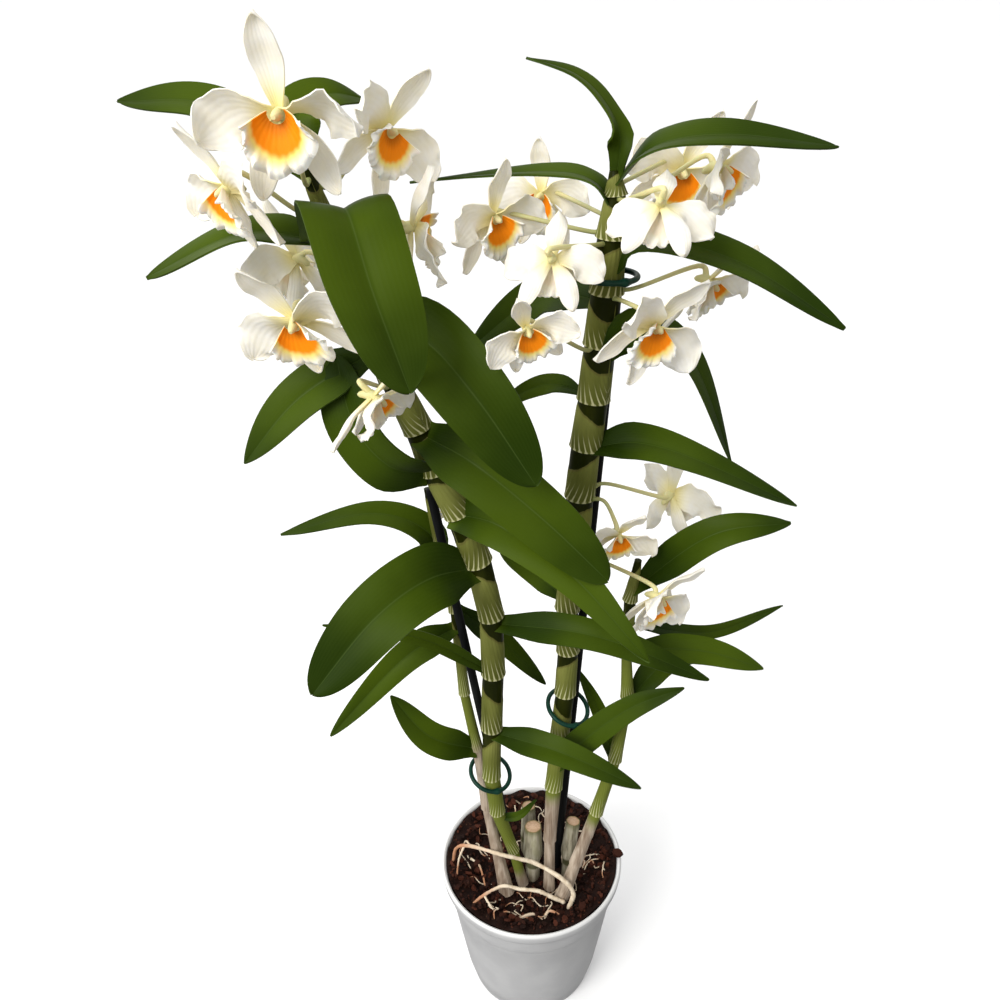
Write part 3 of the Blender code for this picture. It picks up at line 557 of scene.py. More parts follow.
def grow_cane(shape, name):
    """The tube of a cane, with the numbers that its paint reads."""
    rows, turn, rings = CANES[name], full_turn(CANE_SIDES), []
    for low, high, side in zip(rows, rows[1:], leaf_sides(name)):
        around = (turn - side + math.pi) % (2 * math.pi) - math.pi
        for share in RING_SHARES:
            *place, radius = low + (high - low) * share
            green = float(ease((GREEN_BELOW[name] - place[2]) / 0.04 + 0.5))
            dry = float(ease((DRY_BELOW[name] - place[2]) / 0.03 + 0.5))
            mouth = MOUTH_MIDDLE + MOUTH_SLANT * np.cos(turn - side) + green * GREEN_MOUTH
            wrapped = ease((mouth - share) / 0.06) * (share > 0.004)
            lifted = SHEATH_LIFT + HEM_LIFT * (1 - share) ** 4
            bulge = 1.0 + JOINT_BULGE * math.sin(math.pi * share)
            skin = radius * bulge * (SKIN_SHARE + SKIN_SWELL * (share < 0.02))
            rings.append((place, skin + wrapped * lifted, around, share, green, dry))
    foot, tip = rows[0][:3] - (0, 0, STEM_DEPTH), np.full(CANE_SIDES, rows[-1][3])
    rings = [(foot, *rings[0][1:]), *rings, (rows[-1][:3], tip, *rings[-1][2:])]
    path, radii, around, rise, green, dry = (np.array(column) for column in zip(*rings))
    shape.tube(path, radii, CANE_SIDES, 0, along=rise, across=around)
    last = shape.numbers[-1].reshape(len(path), CANE_SIDES, len(CHANNELS))
    last[..., CHANNELS.index("face")] = green[:, None]
    last[..., CHANNELS.index("tone")] = dry[:, None]


# %% Leaf builder
LEAF_THICKNESS = 0.0009
LEAF_FOLD = math.radians(16)
NARROW_LEAF, BROAD_LEAF = 0.018, 0.030
LEAF_ROWS = 37
LEAF_WAVE = 0.0009
LEAF_CROWN = 0.35


def leaf_outline(along, neck, width):
    """Half width at each place along a leaf, as a share of its greatest. Broad leaves end blunt."""
    power, round_off = (6.0, 0.60) if width >= BROAD_LEAF else (3.2, 0.75)
    swell = neck + (1 - neck) * ease(along / 0.30)
    return np.maximum(swell * np.maximum(1 - along**power, 0) ** round_off, 0.012)


def grow_leaf(shape, points, width, face, neck, rng):
    """A blade folded along its midrib, with a wave along its rim."""
    s = np.linspace(-1, 1, 15 if width > NARROW_LEAF else 11)
    t = np.sin(np.linspace(0, 1, LEAF_ROWS) * math.pi / 2) ** 0.9
    across, along = np.meshgrid(s, t)
    half = width / 2 * leaf_outline(along, neck, width)
    fold = LEAF_FOLD * (1 - 0.5 * along)
    phase, waves = rng.uniform(0, 6.28), rng.uniform(5, 9)
    ripple = LEAF_WAVE * np.sin(waves * along + phase + across * 1.3) * across**2 * (width / 0.025)
    flat = across * half * np.cos(fold)
    crown = LEAF_CROWN * (np.abs(across) - across**2) * half
    lift = np.abs(across) * half * np.sin(fold) + crown * 0.6 + ripple
    grid = blade_grid(points, t, face, flat, lift)
    shape.sheet(grid, LEAF_THICKNESS, 1, across, along, tone=rng.uniform(-0.2, 0.35))


# %% Grow the canes
rng = np.random.default_rng(11)
for name in CANES:
    cane = Shape()
    grow_cane(cane, name)
    for row in LEAVES[name]:
        grow_leaf(cane, *row, rng)
    cane.build(name + "_dressed", [cane_skin, leaf_green], [name], "leaf")

# %% [markdown]
# ## Stumps, stakes and clips
# Three old canes were cut short. What is left of each is a dry tube with a dark band at its joint
# and a pale cut on top. Two black stakes hold the leafy canes, and dark green rings tie them. These
# are plain turned things, so tubes and rings with a little unevenness are enough. A stump's rows
# are places and radii, a stake has its foot and its top, and a ring clip its centre, its radius and
# two tilts in degrees.

# %% Stump and stake places
STUMPS = {
    "stump_front": [(1, -8, 98, 4.6), (1, -8, 117, 5), (1, -7, 121, 6.8), (1, -6, 146, 5.6)],
    "stump_right": [(24, -7, 98, 3.4), (25, -7, 117, 3.6), (25, -7, 121, 5), (28, -4, 149, 4.6)],
    "stump_back": [(-3, 14, 98, 4.6), (-3, 14, 116, 4.5), (-2, 15, 120, 5.2), (-2, 16, 141, 4.6)],
}
STUMPS = {name: metres(rows) for name, rows in STUMPS.items()}
STAKES = {
    "stake_left": metres([(-3.5, 4.5, 40), (-52.5, -15, 410)]),
    "stake_right": metres([(14.5, 1.5, 40), (41.2, -11.2, 545)]),
}
STAKE_RADIUS = 0.0025
CLIPS = {
    "clip_top": (metres((35.6, -17.7, 521)), 12.3, 0, 0),
    "clip_middle": (metres((22, -11, 257)), 12.8, 14, 20),
    "clip_low": (metres((-26.1, -11.3, 202)), 13, 12, 20),
}
CLIP_WIRE = 0.00135
print("stumps:", len(STUMPS), "stakes:", len(STAKES), "clips:", len(CLIPS))

# %% [markdown]
# ## Dry husk, fresh cut and plastic
# Old husk is straw with streaks along it, so its noise is drawn out along the stem. A mask that
# follows the height paints the dark band at the joint. The plastics are near black and dark green
# with faint scuffs, and their gloss stays low, since the photograph shows no sharp glints.

# %% Stump paint
material, paint = start_material("dry stump")
across, along = channel(paint, "across"), channel(paint, "along")
cloud = grain(paint, 150, 4, (1, 1, 0.35))
streaks = grain(paint, 380, 3, (1, 1, 0.08))
husk = (cloud * 0.5 + streaks * 0.5).step(0.36, 0.64)
husk = husk.blend((0.115, 0.100, 0.058), (0.500, 0.460, 0.350))
band = along.step(0.26, 0.30) * (1 - along.step(0.36, 0.42))
husk = (cloud.step(0.5, 0.7) * 0.5).blend(husk, (0.150, 0.160, 0.050))
husk = (band * 0.85).blend(husk, (0.050, 0.052, 0.012))
husk = (along.step(0.90, 0.99) * 0.6).blend(husk, (0.120, 0.125, 0.035))
husk = ((1 - along.step(0.0, 0.25)) * 0.6).blend(husk, (0.090, 0.058, 0.032))
stump_husk = finish_material(material, {"Specular IOR Level": 0.25}, colour=husk,
                             roughness=0.70 + cloud * 0.15, height=streaks + cloud * 0.6, depth=0.0008)

material, paint = start_material("fresh cut")
ring = channel(paint, "across")
cloud = grain(paint, 700, 3)
flesh = (cloud * 0.6 + ring * 0.3).step(0.25, 0.75).blend((0.60, 0.42, 0.28), (0.38, 0.23, 0.13))
fresh_cut = finish_material(material, {"Specular IOR Level": 0.2},
                            colour=ring.step(0.80, 0.98).blend(flesh, (0.150, 0.130, 0.045)),
                            roughness=0.75 + cloud * 0.1, height=cloud, depth=0.0004)

# %% Plastic paints
material, paint = start_material("black stake plastic")
scuffs = grain(paint, 260, 3, (1, 1, 0.1))
stake_black = finish_material(
    material, {"Specular IOR Level": 0.08},
    colour=scuffs.step(0.45, 0.8).blend((0.005, 0.0055, 0.006), (0.016, 0.017, 0.018)),
    roughness=0.50 + scuffs * 0.2, height=scuffs, depth=0.0002)

material, paint = start_material("green clip plastic")
scuffs = grain(paint, 300, 3)
clip_green = finish_material(
    material, {"Specular IOR Level": 0.20},
    colour=scuffs.step(0.3, 0.8).blend((0.001, 0.024, 0.014), (0.002, 0.042, 0.024)),
    roughness=0.30 + scuffs * 0.2, height=scuffs, depth=0.00015)

# %% Stumps
STUMP_SIDES, STUMP_RINGS = 30, 42
FOLD_DEPTH = 0.022
CUT_RINGS = (1.0, 0.9, 0.55, 0.02)
CUT_LIFT = 0.00012
CUT_CROWN = 0.00030
for number, (name, rows) in enumerate(STUMPS.items()):
    rng = np.random.default_rng(40 + number)
    stump = Shape()
    table = np.array([(*rows[0][:2], rows[0][2] - STEM_DEPTH, rows[0][3]), *rows])
    rise = (table[:, 2] - rows[0][2]) / (rows[-1][2] - rows[0][2])
    t = np.linspace(rise[0], 1, STUMP_RINGS)
    path = np.stack([np.interp(t, rise, table[:, k]) for k in range(3)], axis=1)
    turn = full_turn(STUMP_SIDES)
    folds = np.sin(7 * turn + rng.uniform(0, 6)) + 0.6 * np.sin(12 * turn + rng.uniform(0, 6))
    fluting = 1 + FOLD_DEPTH * folds * ease(t / 0.4)[:, None]
    radii = np.interp(t, rise, table[:, 3])[:, None] * fluting
    grid = stump.tube(path, radii, STUMP_SIDES, 0, along=np.clip(t, 0, 1))
    rim, middle = grid[-1] + (0, 0, CUT_LIFT), grid[-1].mean(axis=0) + (0, 0, CUT_CROWN)
    cut = np.stack([middle + (rim - middle) * share for share in CUT_RINGS])
    stump.rings(cut, 1, {"across": np.repeat(CUT_RINGS, STUMP_SIDES)}, closed_start=False)
    stump.build(name + "_dressed", [stump_husk, fresh_cut], [name], "dry_cane")

# %% Stakes
STAKE_SIDES = 36
STAKE_RIBS = 9
RIB_DEPTH = 0.035
for name, (foot, top) in STAKES.items():
    t = np.concatenate([[0, 0.001], np.linspace(0.01, 0.992, 30), [0.996, 0.9985, 1.0]])
    taper = np.interp(t, [0, 0.001, 0.992, 0.996, 0.9985, 1.0], [0.6, 1, 1, 0.95, 0.75, 0.30])
    ribs = 1 - RIB_DEPTH * (np.cos(STAKE_RIBS * full_turn(STAKE_SIDES)) > 0.2)
    radii = STAKE_RADIUS * taper[:, None] * ribs
    stake = Shape()
    stake.tube(foot + (top - foot) * t[:, None], radii, STAKE_SIDES, 0, along=t)
    stake.build(name + "_dressed", [stake_black], [name], "stake")

# %% Ring clips
CLASP = 5.2
CLASP_SPAN, CLASP_SWELL = 0.16, 0.55
CLIP_STEPS, WIRE_SIDES = 96, 14
for name, (centre, radius, tilt_x, tilt_y) in CLIPS.items():
    tilt = Matrix.Rotation(math.radians(tilt_y), 3, "Y") @ Matrix.Rotation(math.radians(tilt_x), 3, "X")
    around, turn = np.meshgrid(full_turn(CLIP_STEPS), full_turn(WIRE_SIDES), indexing="ij")
    wire = CLIP_WIRE * (1 + CLASP_SWELL * np.exp(-(((around - CLASP) / CLASP_SPAN) ** 2)))
    out = metres(radius) + wire * np.cos(turn)
    grid = np.stack([out * np.cos(around), out * np.sin(around), wire * np.sin(turn)], axis=-1)
    index = np.arange(CLIP_STEPS * WIRE_SIDES).reshape(CLIP_STEPS, WIRE_SIDES)
    ahead, over = np.roll(index, -1, axis=0), np.roll(index, -1, axis=1)
    skin = np.stack([index, ahead, np.roll(ahead, -1, axis=1), over], axis=-1).reshape(-1, 4)
    clip = Shape()
    clip.add(grid @ np.array(tilt).T + centre, skin, 0, {})
    clip.build(name + "_dressed", [clip_green], [name], "clip")

# %% [markdown]
# ## Bark and roots
# The pot is filled with dark chips of bark, which bank up against the rim. Small angular slabs are
# scattered over the bed by a seeded draw, each one a rough polygon with a thickness. Over them lie
# the plant's own roots: thick pale ones, and a tangle of fine ones. Real chips hide what is under
# them, so the bed below is one smooth skin in the same paint.

# %% Bark places
BARK_LEVEL = 0.099
BARK_RELIEF = 0.0022
BARK_REACH = 0.0585
BANK_RISE = 0.0098
CHIP_COUNT = 1150
FIBRE_COUNT = 46
BANK_START, BANK_SPAN = 0.034, 0.024
STEM_FEET = [(rows[0][0], rows[0][1], rows[0][3]) for rows in (*CANES.values(), *STUMPS.values())]
for foot, top in STAKES.values():
    share = (BARK_LEVEL - foot[2]) / (top[2] - foot[2])
    STEM_FEET.append((*(foot + (top - foot) * share)[:2], STAKE_RADIUS))
print("stems and stakes that stand in the bark:", len(STEM_FEET))


def bark_height(x, y):
    """How the top of the bark rises and falls, and banks up to the rim."""
    wave = np.sin(x * 310 + 1.3) * np.cos(y * 270 - 0.6) + 0.6 * np.sin((x - y) * 460)
    bank = ease((np.hypot(x, y) - BANK_START) / BANK_SPAN)
    return BARK_LEVEL + BARK_RELIEF * wave / 1.6 + BANK_RISE * bank


def clear_of_stems(x, y, room):
    """Whether a place on the bark is at least this far from every stem and stake."""
    return all(math.hypot(x - foot_x, y - foot_y) > radius + room
               for foot_x, foot_y, radius in STEM_FEET)


# %% Bark paint
material, paint = start_material("bark")
tone = channel(paint, "tone")
cloud, crumb = grain(paint, 260, 5), grain(paint, 900, 3)
brown = (tone * 0.75 + cloud * 0.5 - 0.1).step(0.0, 1.0)
brown = brown.blend((0.008, 0.0030, 0.0020), (0.066, 0.018, 0.009))
brown = (crumb.step(0.62, 0.75) * 0.35).blend(brown, (0.180, 0.090, 0.045))
bark_brown = finish_material(material, {"Specular IOR Level": 0.12}, colour=brown,
                             roughness=0.68 + crumb * 0.2, height=cloud + crumb * 0.5, depth=0.0009)

# %% Bark bed
BED_WALL = metres([(41, 4.5), (44.4, 18), (56, 95)])
BED_SIDES, BED_RINGS = 150, 40
BED_EDGE, BED_MIDDLE = 0.0588, 0.0008
turn = full_turn(BED_SIDES)
rings = [circle(radius, height, turn) for radius, height in BED_WALL]
for radius in np.linspace(BED_EDGE, BED_MIDDLE, BED_RINGS):
    rings.append(circle(radius, bark_height(radius * np.cos(turn), radius * np.sin(turn)), turn))
bed = Shape()
bed.rings(np.array(rings), 0, {})
bed.build("bark_bed", [bark_brown], ["substrate"], "bark")

# %% Chips
SMALL_CHIP, CHIP_RANGE = 0.0010, 0.0030
CHIP_SPACE = 0.8
RIM_CHIP = (0.0600, 0.0010, 0.1114)
RIM_CHIP_SIZE = 0.0046


def add_chip(shape, centre, size, rng, tone):
    """An angular slab of bark with a rough outline."""
    corners = int(rng.integers(5, 8))
    turn = np.sort(rng.uniform(0, 2 * math.pi, corners)) * 0.35 + full_turn(corners) * 0.65
    reach = rng.uniform(0.72, 1.0, corners) * size
    outline = np.stack([np.cos(turn) * reach, np.sin(turn) * reach * rng.uniform(0.45, 0.8)], axis=1)
    thick = size * rng.uniform(0.22, 0.42)
    low = np.column_stack([outline, rng.normal(0, thick * 0.2, corners) - thick])
    narrower = outline * rng.uniform(0.72, 0.92)
    high = np.column_stack([narrower, rng.normal(0, thick * 0.25, corners) + thick])
    spin = Matrix.Rotation(rng.uniform(0, 6.28), 3, "Z") @ Matrix.Rotation(rng.normal(0, 0.42), 3, "X")
    spin = spin @ Matrix.Rotation(rng.normal(0, 0.35), 3, "Y")
    points = np.stack([low, high]) @ np.array(spin).T + centre
    shape.rings(points, 0, {"tone": tone})


rng = np.random.default_rng(7)
chips = Shape()
while len(chips.numbers) < CHIP_COUNT:
    reach, turn = BARK_REACH * math.sqrt(rng.uniform()), rng.uniform(0, 2 * math.pi)
    x, y = reach * math.cos(turn), reach * math.sin(turn)
    size = SMALL_CHIP + CHIP_RANGE * rng.uniform() ** 2.4
    if clear_of_stems(x, y, size * CHIP_SPACE) and reach + size * CHIP_SPACE < BARK_REACH:
        z = bark_height(x, y) + rng.uniform(0.0, 0.0011) + size * 0.12
        add_chip(chips, (x, y, z), size, rng, rng.uniform() ** 1.6)
add_chip(chips, RIM_CHIP, RIM_CHIP_SIZE, np.random.default_rng(3), 0.45)
chips.build("bark_chips", [bark_brown], slot="bark")

# %% [markdown]
# ## Roots
# A root is cream near its start and rusty towards its tip, and the mask adds noise to that change
# so that it isn't a straight line. Each row gives a root's points, its radius and how rusty it is.
# A few thinner ones branch off. The fine roots wander by small random turns just above the bark.

# %% Root paint
material, paint = start_material("root skin")
along, tone = channel(paint, "along"), channel(paint, "tone")
cloud = grain(paint, 200, 4)
rust = (along.step(0.50, 0.95) * 1.1 + tone - 0.35 + (cloud - 0.5) * 1.1).step(0.0, 0.7)
cream = cloud.step(0.3, 0.7).blend((0.58, 0.46, 0.32), (0.80, 0.70, 0.54))
root_skin = finish_material(material, {"Specular IOR Level": 0.3},
                            colour=(rust * 0.85).blend(cream, (0.40, 0.150, 0.055)),
                            roughness=0.62 + cloud * 0.15, height=cloud, depth=0.0005)

# %% Roots
ROOTS = {
    "root_long": ([(24.3, -36.1, 101), (27.5, -33.5, 114.6), (20.1, -30.5, 124.7), (3, -23.5, 131),
                   (-8.9, -23.5, 136), (-21.4, -22.5, 139.2), (-41.4, -12, 134.1), (-51.6, -6, 124),
                   (-54.8, -3.5, 101)], 1.6, 0.15),
    "root_front": ([(22.5, -31, 101.4), (13.7, -30, 105.7), (4.3, -29, 110.6), (-7.7, -29, 112.6),
                    (-19, -29, 115.7), (-31.6, -32, 110.5), (-42.5, -35, 101)], 1.5, 0),
    "root_thin": ([(-48.4, 6.4, 103.5), (-41.9, 2.2, 102.8), (-36.1, -3, 102),
                   (-31.1, -19.4, 100.4)], 0.9, 0.35),
    "root_loop": ([(-12.1, -45.5, 101.4), (-0.3, -40.7, 102.8), (7.6, -43.1, 101.8),
                   (11.6, -40, 105.1), (18.8, -41.9, 104.7), (25, -40.5, 100.7)], 1.1, 0.55),
}
BRANCHES = {
    "root_long": [([(-45, -9.8, 132.5), (-49, -13, 123), (-51, -16, 108)], 0.8),
                  ([(-41.4, -12, 134.1), (-45, -4, 129), (-50, 2, 108)], 0.7)],
    "root_front": [([(-31.6, -32, 110.5), (-27, -38, 107.5), (-20, -42, 101)], 0.8)],
}


def grow_root(shape, points, radius, tone, rng, sides=12):
    """A lumpy tube that thins towards its tip."""
    t = np.linspace(0, 1, 14 * len(points))
    path = smooth_path(points, t) + rng.normal(0, 0.00007, (len(t), 3))
    lumps = 1 + 0.07 * np.sin(37 * t + rng.uniform(0, 6)) + 0.05 * np.sin(71 * t + rng.uniform(0, 6))
    girth = radius * (1 - 0.35 * t) * lumps * np.interp(t, [0, 0.02, 0.97, 1], [0.5, 1, 1, 0.3])
    shape.tube(path, girth, sides, 0, tone=tone, along=t)


for number, (name, (points, radius, tone)) in enumerate(ROOTS.items()):
    rng = np.random.default_rng(60 + number)
    root = Shape()
    grow_root(root, metres(points), metres(radius), tone, rng)
    for branch, thin in BRANCHES.get(name, []):
        grow_root(root, metres(branch), metres(thin), tone + 0.3, rng)
    root.build(name + "_dressed", [root_skin], [name], "root")

# %% Fine roots
FIBRE_SPREAD, FIBRE_LIMIT = 0.052, 0.0545
FIBRE_STEP, FIBRE_WANDER, FIBRE_ROOM = 0.0042, 0.75, 0.0012
rng = np.random.default_rng(23)
fibres = Shape()
while len(fibres.numbers) < FIBRE_COUNT:
    reach, turn = FIBRE_SPREAD * math.sqrt(rng.uniform(0.1, 1)), rng.uniform(0, 2 * math.pi)
    x, y, heading = reach * math.cos(turn), reach * math.sin(turn), rng.uniform(0, 6.28)
    points = []
    for step in range(5):
        lift = 0.0022 + 0.0012 * math.sin(step * 1.6 + heading) - 0.0018 * (step in (0, 4))
        points.append((x, y, bark_height(x, y) + lift))
        heading += rng.normal(0, FIBRE_WANDER)
        x, y = x + FIBRE_STEP * math.cos(heading), y + FIBRE_STEP * math.sin(heading)
    if all(math.hypot(x, y) < FIBRE_LIMIT and clear_of_stems(x, y, FIBRE_ROOM) for x, y, _ in points):
        radius, tone = rng.uniform(0.00032, 0.00060), rng.uniform(-0.1, 0.5)
        grow_root(fibres, points, radius, tone, rng, sides=7)
fibres.build("fine_roots", [root_skin], slot="root")

# %% [markdown]
# ## Blooms
# A dendrobium bloom has three narrow sepals, two broad petals and a lip. In bloom space x runs to
# its right, y is the way it faces and z is up, so one set of measures serves every bloom. Each row
# of the table names the cane and the height of the joint, then the bloom's centre, how it is
# turned, tipped and rolled in degrees, its scale, how far the tepals cup forward and how far the
# petals twist. A tepal's row holds its midrib, its width, its ruffle and its share of the cup.

# %% Where the blooms hang
BLOOMS = [
    ("cane_a", 566, (-91, -68, 594), -3, -10, -5, 0.95, 8, 45),
    ("cane_a", 553, (-116.2, -60.5, 567), -42, -26, -15, 0.8, 12, 0),
    ("cane_a", 563, (-59, -32, 584), 48, -10, 38, 0.84, 18, 15),
    ("cane_a", 527, (-109, -2, 525), -115, -20, 0, 0.84, 20, 0),
    ("cane_a", 510, (-97, -62, 515), -6, -30, -30, 0.9, 6, 15),
    ("cane_a", 530, (-51, -32, 546), 103, -6, -30, 0.9, 20, 0),
    ("cane_b", 541, (-17, -22, 548), 40, -16, 0, 0.76, 14, 0),
    ("cane_b", 546, (5, 36, 546), -20, -8, 0, 0.78, 5, 0),
    ("cane_b", 537, (8.5, -50, 537), 170, -42, 0, 0.68, 20, 0),
    ("cane_b", 490, (-2, -70, 514), 20, -28, -22, 0.64, 22, 0),
    ("cane_a", 477, (-65, -78, 488), 72, -40, 10, 0.8, 22, 0),
    ("cane_a", 405, (-33, 36, 378), 30, -48, 0, 0.8, 15, 0),
    ("cane_b", 556, (50, -62, 561), 168, -58, 0, 0.72, 26, 0),
    ("cane_b", 554, (80, -14, 567), 58, -18, 5, 0.86, 16, 15),
    ("cane_b", 560, (72, 36, 558), 12, -22, 24, 0.95, 10, 0),
    ("cane_b", 515, (80, -18, 519), 55, -40, 0, 0.8, 22, 15),
    ("cane_b", 513, (51, -56, 511), 25, -18, 40, 0.82, 22, 15),
    ("cane_b", 410, (75, 2, 397), 130, -5, 0, 0.86, 15, 0),
    ("cane_b", 406, (44, -32, 393), 15, -30, 20, 0.68, 20, 10),
    ("cane_b", 372, (63, -53, 369), 35, -25, 42, 0.79, 20, 15),
]
TEPALS = {"dorsal": ([(0, -1, 1), (0, -4, 18), (0, -1, 35)], 14.5, 0, 0.6)}
PAIRS = {
    "petal": ([(1, 1, 0), (17, -1, 2), (33, 2, -6)], 24, 2.2, 1),
    "sepal": ([(1, -1, -1), (10, -3, -16), (16, 0, -32)], 13.5, 0, 0.3),
}
for part, (points, width, ruffle, share) in PAIRS.items():
    for side, sign in (("right", 1), ("left", -1)):
        mirrored = [(x * sign, y, z) for x, y, z in points]
        TEPALS[f"{part}_{side}"] = (mirrored, width, ruffle * sign, share)
TWIST_SHARES = {"petal_right": 1, "petal_left": 0.33}
COLUMN_POINTS = metres([(0, -6.5, -5.5), (0, -2, -1), (0, 1.2, 0), (0, 8.5, 0.8)])
print("blooms:", len(BLOOMS), "with", len(TEPALS), "tepals each")

# %% [markdown]
# ## White petals and an orange lip
# Petals let light in, so their shader scatters some of it under the surface; without that they look
# like paper. Their white is warm and turns yellow at the foot. The lip's orange fills the inside of
# the trumpet and fades over a yellow halo into a white rim, and the outside shows only a hint of
# it. Both read how far along and across the sheet a point lies, so the edges follow the shape.

# %% Tepal paint
material, paint = start_material("tepal white")
across, along = channel(paint, "across"), channel(paint, "along")
cloud = grain(paint, 120, 3)
veins = (across * 24 + cloud * 3).maths("SINE") * 0.5 + 0.5
foot = 1 - along.step(0.02, 0.50)
cream = cloud.step(0.3, 0.7).blend((0.90, 0.84, 0.70), (0.95, 0.91, 0.82))
cream = (veins * 0.12).blend(cream, (0.82, 0.77, 0.60))
cream = (foot * 0.85).blend(cream, (0.82, 0.70, 0.26))
tepal_white = finish_material(
    material, {"IOR": 1.36, "Specular IOR Level": 0.25, "Subsurface Weight": 0.25,
                       "Subsurface Scale": 0.004, "Subsurface Radius": (1.0, 0.8, 0.5)},
    colour=cream, roughness=0.55 + cloud * 0.1, height=veins * 0.35 + cloud * 0.6, depth=0.0003)

# %% Lip paint
material, paint = start_material("lip orange and white")
across, along = channel(paint, "across"), channel(paint, "along")
inside = 1 - channel(paint, "face")
cloud = grain(paint, 170, 3)
rays = (across * 40 + cloud * 3).maths("SINE") * 0.5 + 0.5
edge = along + (cloud - 0.5) * 0.10 + rays * 0.02 + across * across * 0.05
orange = 1 - edge.step(0.50, 0.64)
halo = 1 - edge.step(0.56, 0.90)
white = cloud.step(0.3, 0.7).blend((0.88, 0.84, 0.74), (0.94, 0.92, 0.86))
white = (rays * 0.10).blend(white, (0.86, 0.78, 0.52))
glow = (halo * (0.12 + inside * 0.80)).blend(white, (0.96, 0.72, 0.13))
# Deep in the throat the orange is painted darker: painted shade in the recess under the column.
orange_and_throat_shade = (1 - along.step(0.0, 0.30)).blend((1.0, 0.27, 0.002), (0.62, 0.17, 0.003))
lip_paint = finish_material(
    material, {"IOR": 1.36, "Specular IOR Level": 0.25, "Subsurface Weight": 0.15,
                       "Subsurface Scale": 0.003, "Subsurface Radius": (1.0, 0.6, 0.3)},
    colour=(orange * (0.10 + inside * 0.90)).blend(glow, orange_and_throat_shade), roughness=0.55 + cloud * 0.1,
    height=rays * 0.4 + cloud * 0.7, depth=0.0003)

# %% Stalk and column paint
material, paint = start_material("stalk and column")
cloud, along = grain(paint, 140, 3), channel(paint, "along")
stalk_green = along.step(0.0, 0.8).blend((0.150, 0.200, 0.022), (0.72, 0.66, 0.32))
stalk_paint = finish_material(
    material, {"IOR": 1.4, "Subsurface Weight": 0.1, "Subsurface Scale": 0.003},
    colour=(cloud * 0.35).blend(stalk_green, (0.78, 0.72, 0.42)), roughness=0.45 + cloud * 0.1)

# %% [markdown]
# ## The parts of a bloom
# A petal is a sheet whose rim ruffles more towards its end. The lip is a rolled throat that opens
# into a frilled trumpet. A short column stands over the throat, and a chin carries the bloom on
# its stalk. Every bloom draws its own ruffles from a seeded generator, so no two are alike.


# %% From bloom space to the plant
def bloom_matrix(centre, turn, rise, roll, scale):
    """Bloom space set in the plant's frame."""
    turn, rise, roll = (math.radians(angle) for angle in (turn, rise, roll))
    facing = Vector((math.sin(turn) * math.cos(rise), -math.cos(turn) * math.cos(rise), math.sin(rise)))
    right = Vector((0, 0, 1)).cross(facing).normalized()
    up = facing.cross(right)
    rolled_up = up * math.cos(roll) + right * math.sin(roll)
    rolled_right = right * math.cos(roll) - up * math.sin(roll)
    axes = Matrix((rolled_right, facing, rolled_up)).transposed().to_4x4()
    return Matrix.Translation(centre) @ axes @ Matrix.Scale(scale, 4)


def placed(matrix, grid):
    """A grid of bloom space points set in the plant's frame."""
    matrix = np.array(matrix)
    return grid @ matrix[:3, :3].T + matrix[:3, 3]


# %% Tepal builder
TEPAL_THICKNESS = 0.00055
PETAL_FRILL, PETAL_CRIMP, SEPAL_FRILL = 0.0011, 0.0006, 0.0005
PETAL_CURL, SEPAL_CURL = 0.0022, 0.0016
RIM_LIFT = 0.0012


def cupped(points, cup):
    """Tepal points tipped forward by the cup angle."""
    tilt = math.radians(cup)
    return [(x * math.cos(tilt), y + math.hypot(x, z) * math.sin(tilt), z * math.cos(tilt))
            for x, y, z in points]


def tepal_outline(along, neck, tip):
    """Half width along a tepal. A high tip number makes a blunt end, a low one a point."""
    body = neck + (1 - neck) * np.sin(math.pi * along * 0.66)
    return np.maximum(body * np.maximum(1 - along**tip, 0) ** 0.6, 0.015)


def grow_tepal(shape, matrix, part, cup, twist, rng):
    """One sepal or petal, cupped forward and ruffled along its rim."""
    points, width, ruffle, share = TEPALS[part]
    petal = part.startswith("petal")
    tilt = math.radians(TWIST_SHARES.get(part, 0) * twist)
    points = cupped(metres(points), cup * share)
    s = np.linspace(-1, 1, 17 if petal else 11)
    t = np.sin(np.linspace(0, 1, 25) * math.pi / 2)
    across, along = np.meshgrid(s, t)
    half = metres(width) / 2 * tepal_outline(along, 0.22, 5.5 if petal else 4.2)
    phase = rng.uniform(0, 6.28, 3)
    rim = np.abs(across) ** 2.2 * np.minimum(along * 1.6, 1)
    if petal:
        frill = PETAL_FRILL * np.sin(19 * along + phase[0] + 2 * across)
        frill += PETAL_CRIMP * np.sin(37 * along + phase[1])
        curl = PETAL_CURL * across**2 * np.sin(2.6 * along + phase[2])
    else:
        frill = SEPAL_FRILL * np.sin(13 * along + phase[0])
        curl = SEPAL_CURL * across**2 - 0.0080 * np.maximum(along - 0.75, 0)
    lift = RIM_LIFT * np.abs(across) * along + metres(ruffle) * across * np.sin(7 * along)
    lift += rim * frill + curl
    flat = across * half * (1 + 0.05 * np.sin(23 * along + phase[1]) * (1.0 if petal else 0.3))
    grid = blade_grid(points, t, (0, math.cos(tilt), -math.sin(tilt)), flat, lift)
    shape.sheet(placed(matrix, grid), TEPAL_THICKNESS, 0, across, along)


# %% Lip builder
LIP_THICKNESS = 0.0006
THROAT_RADIUS, LIP_FLARE = 0.0037, 0.0101
THROAT_START, LIP_REACH = 0.0046, 0.0096
THROAT_RISE, LIP_DROP, LIP_BELLY = 0.0009, 0.0084, 0.0030
LIP_FRILL, LIP_RECURVE = 0.0011, 0.0026


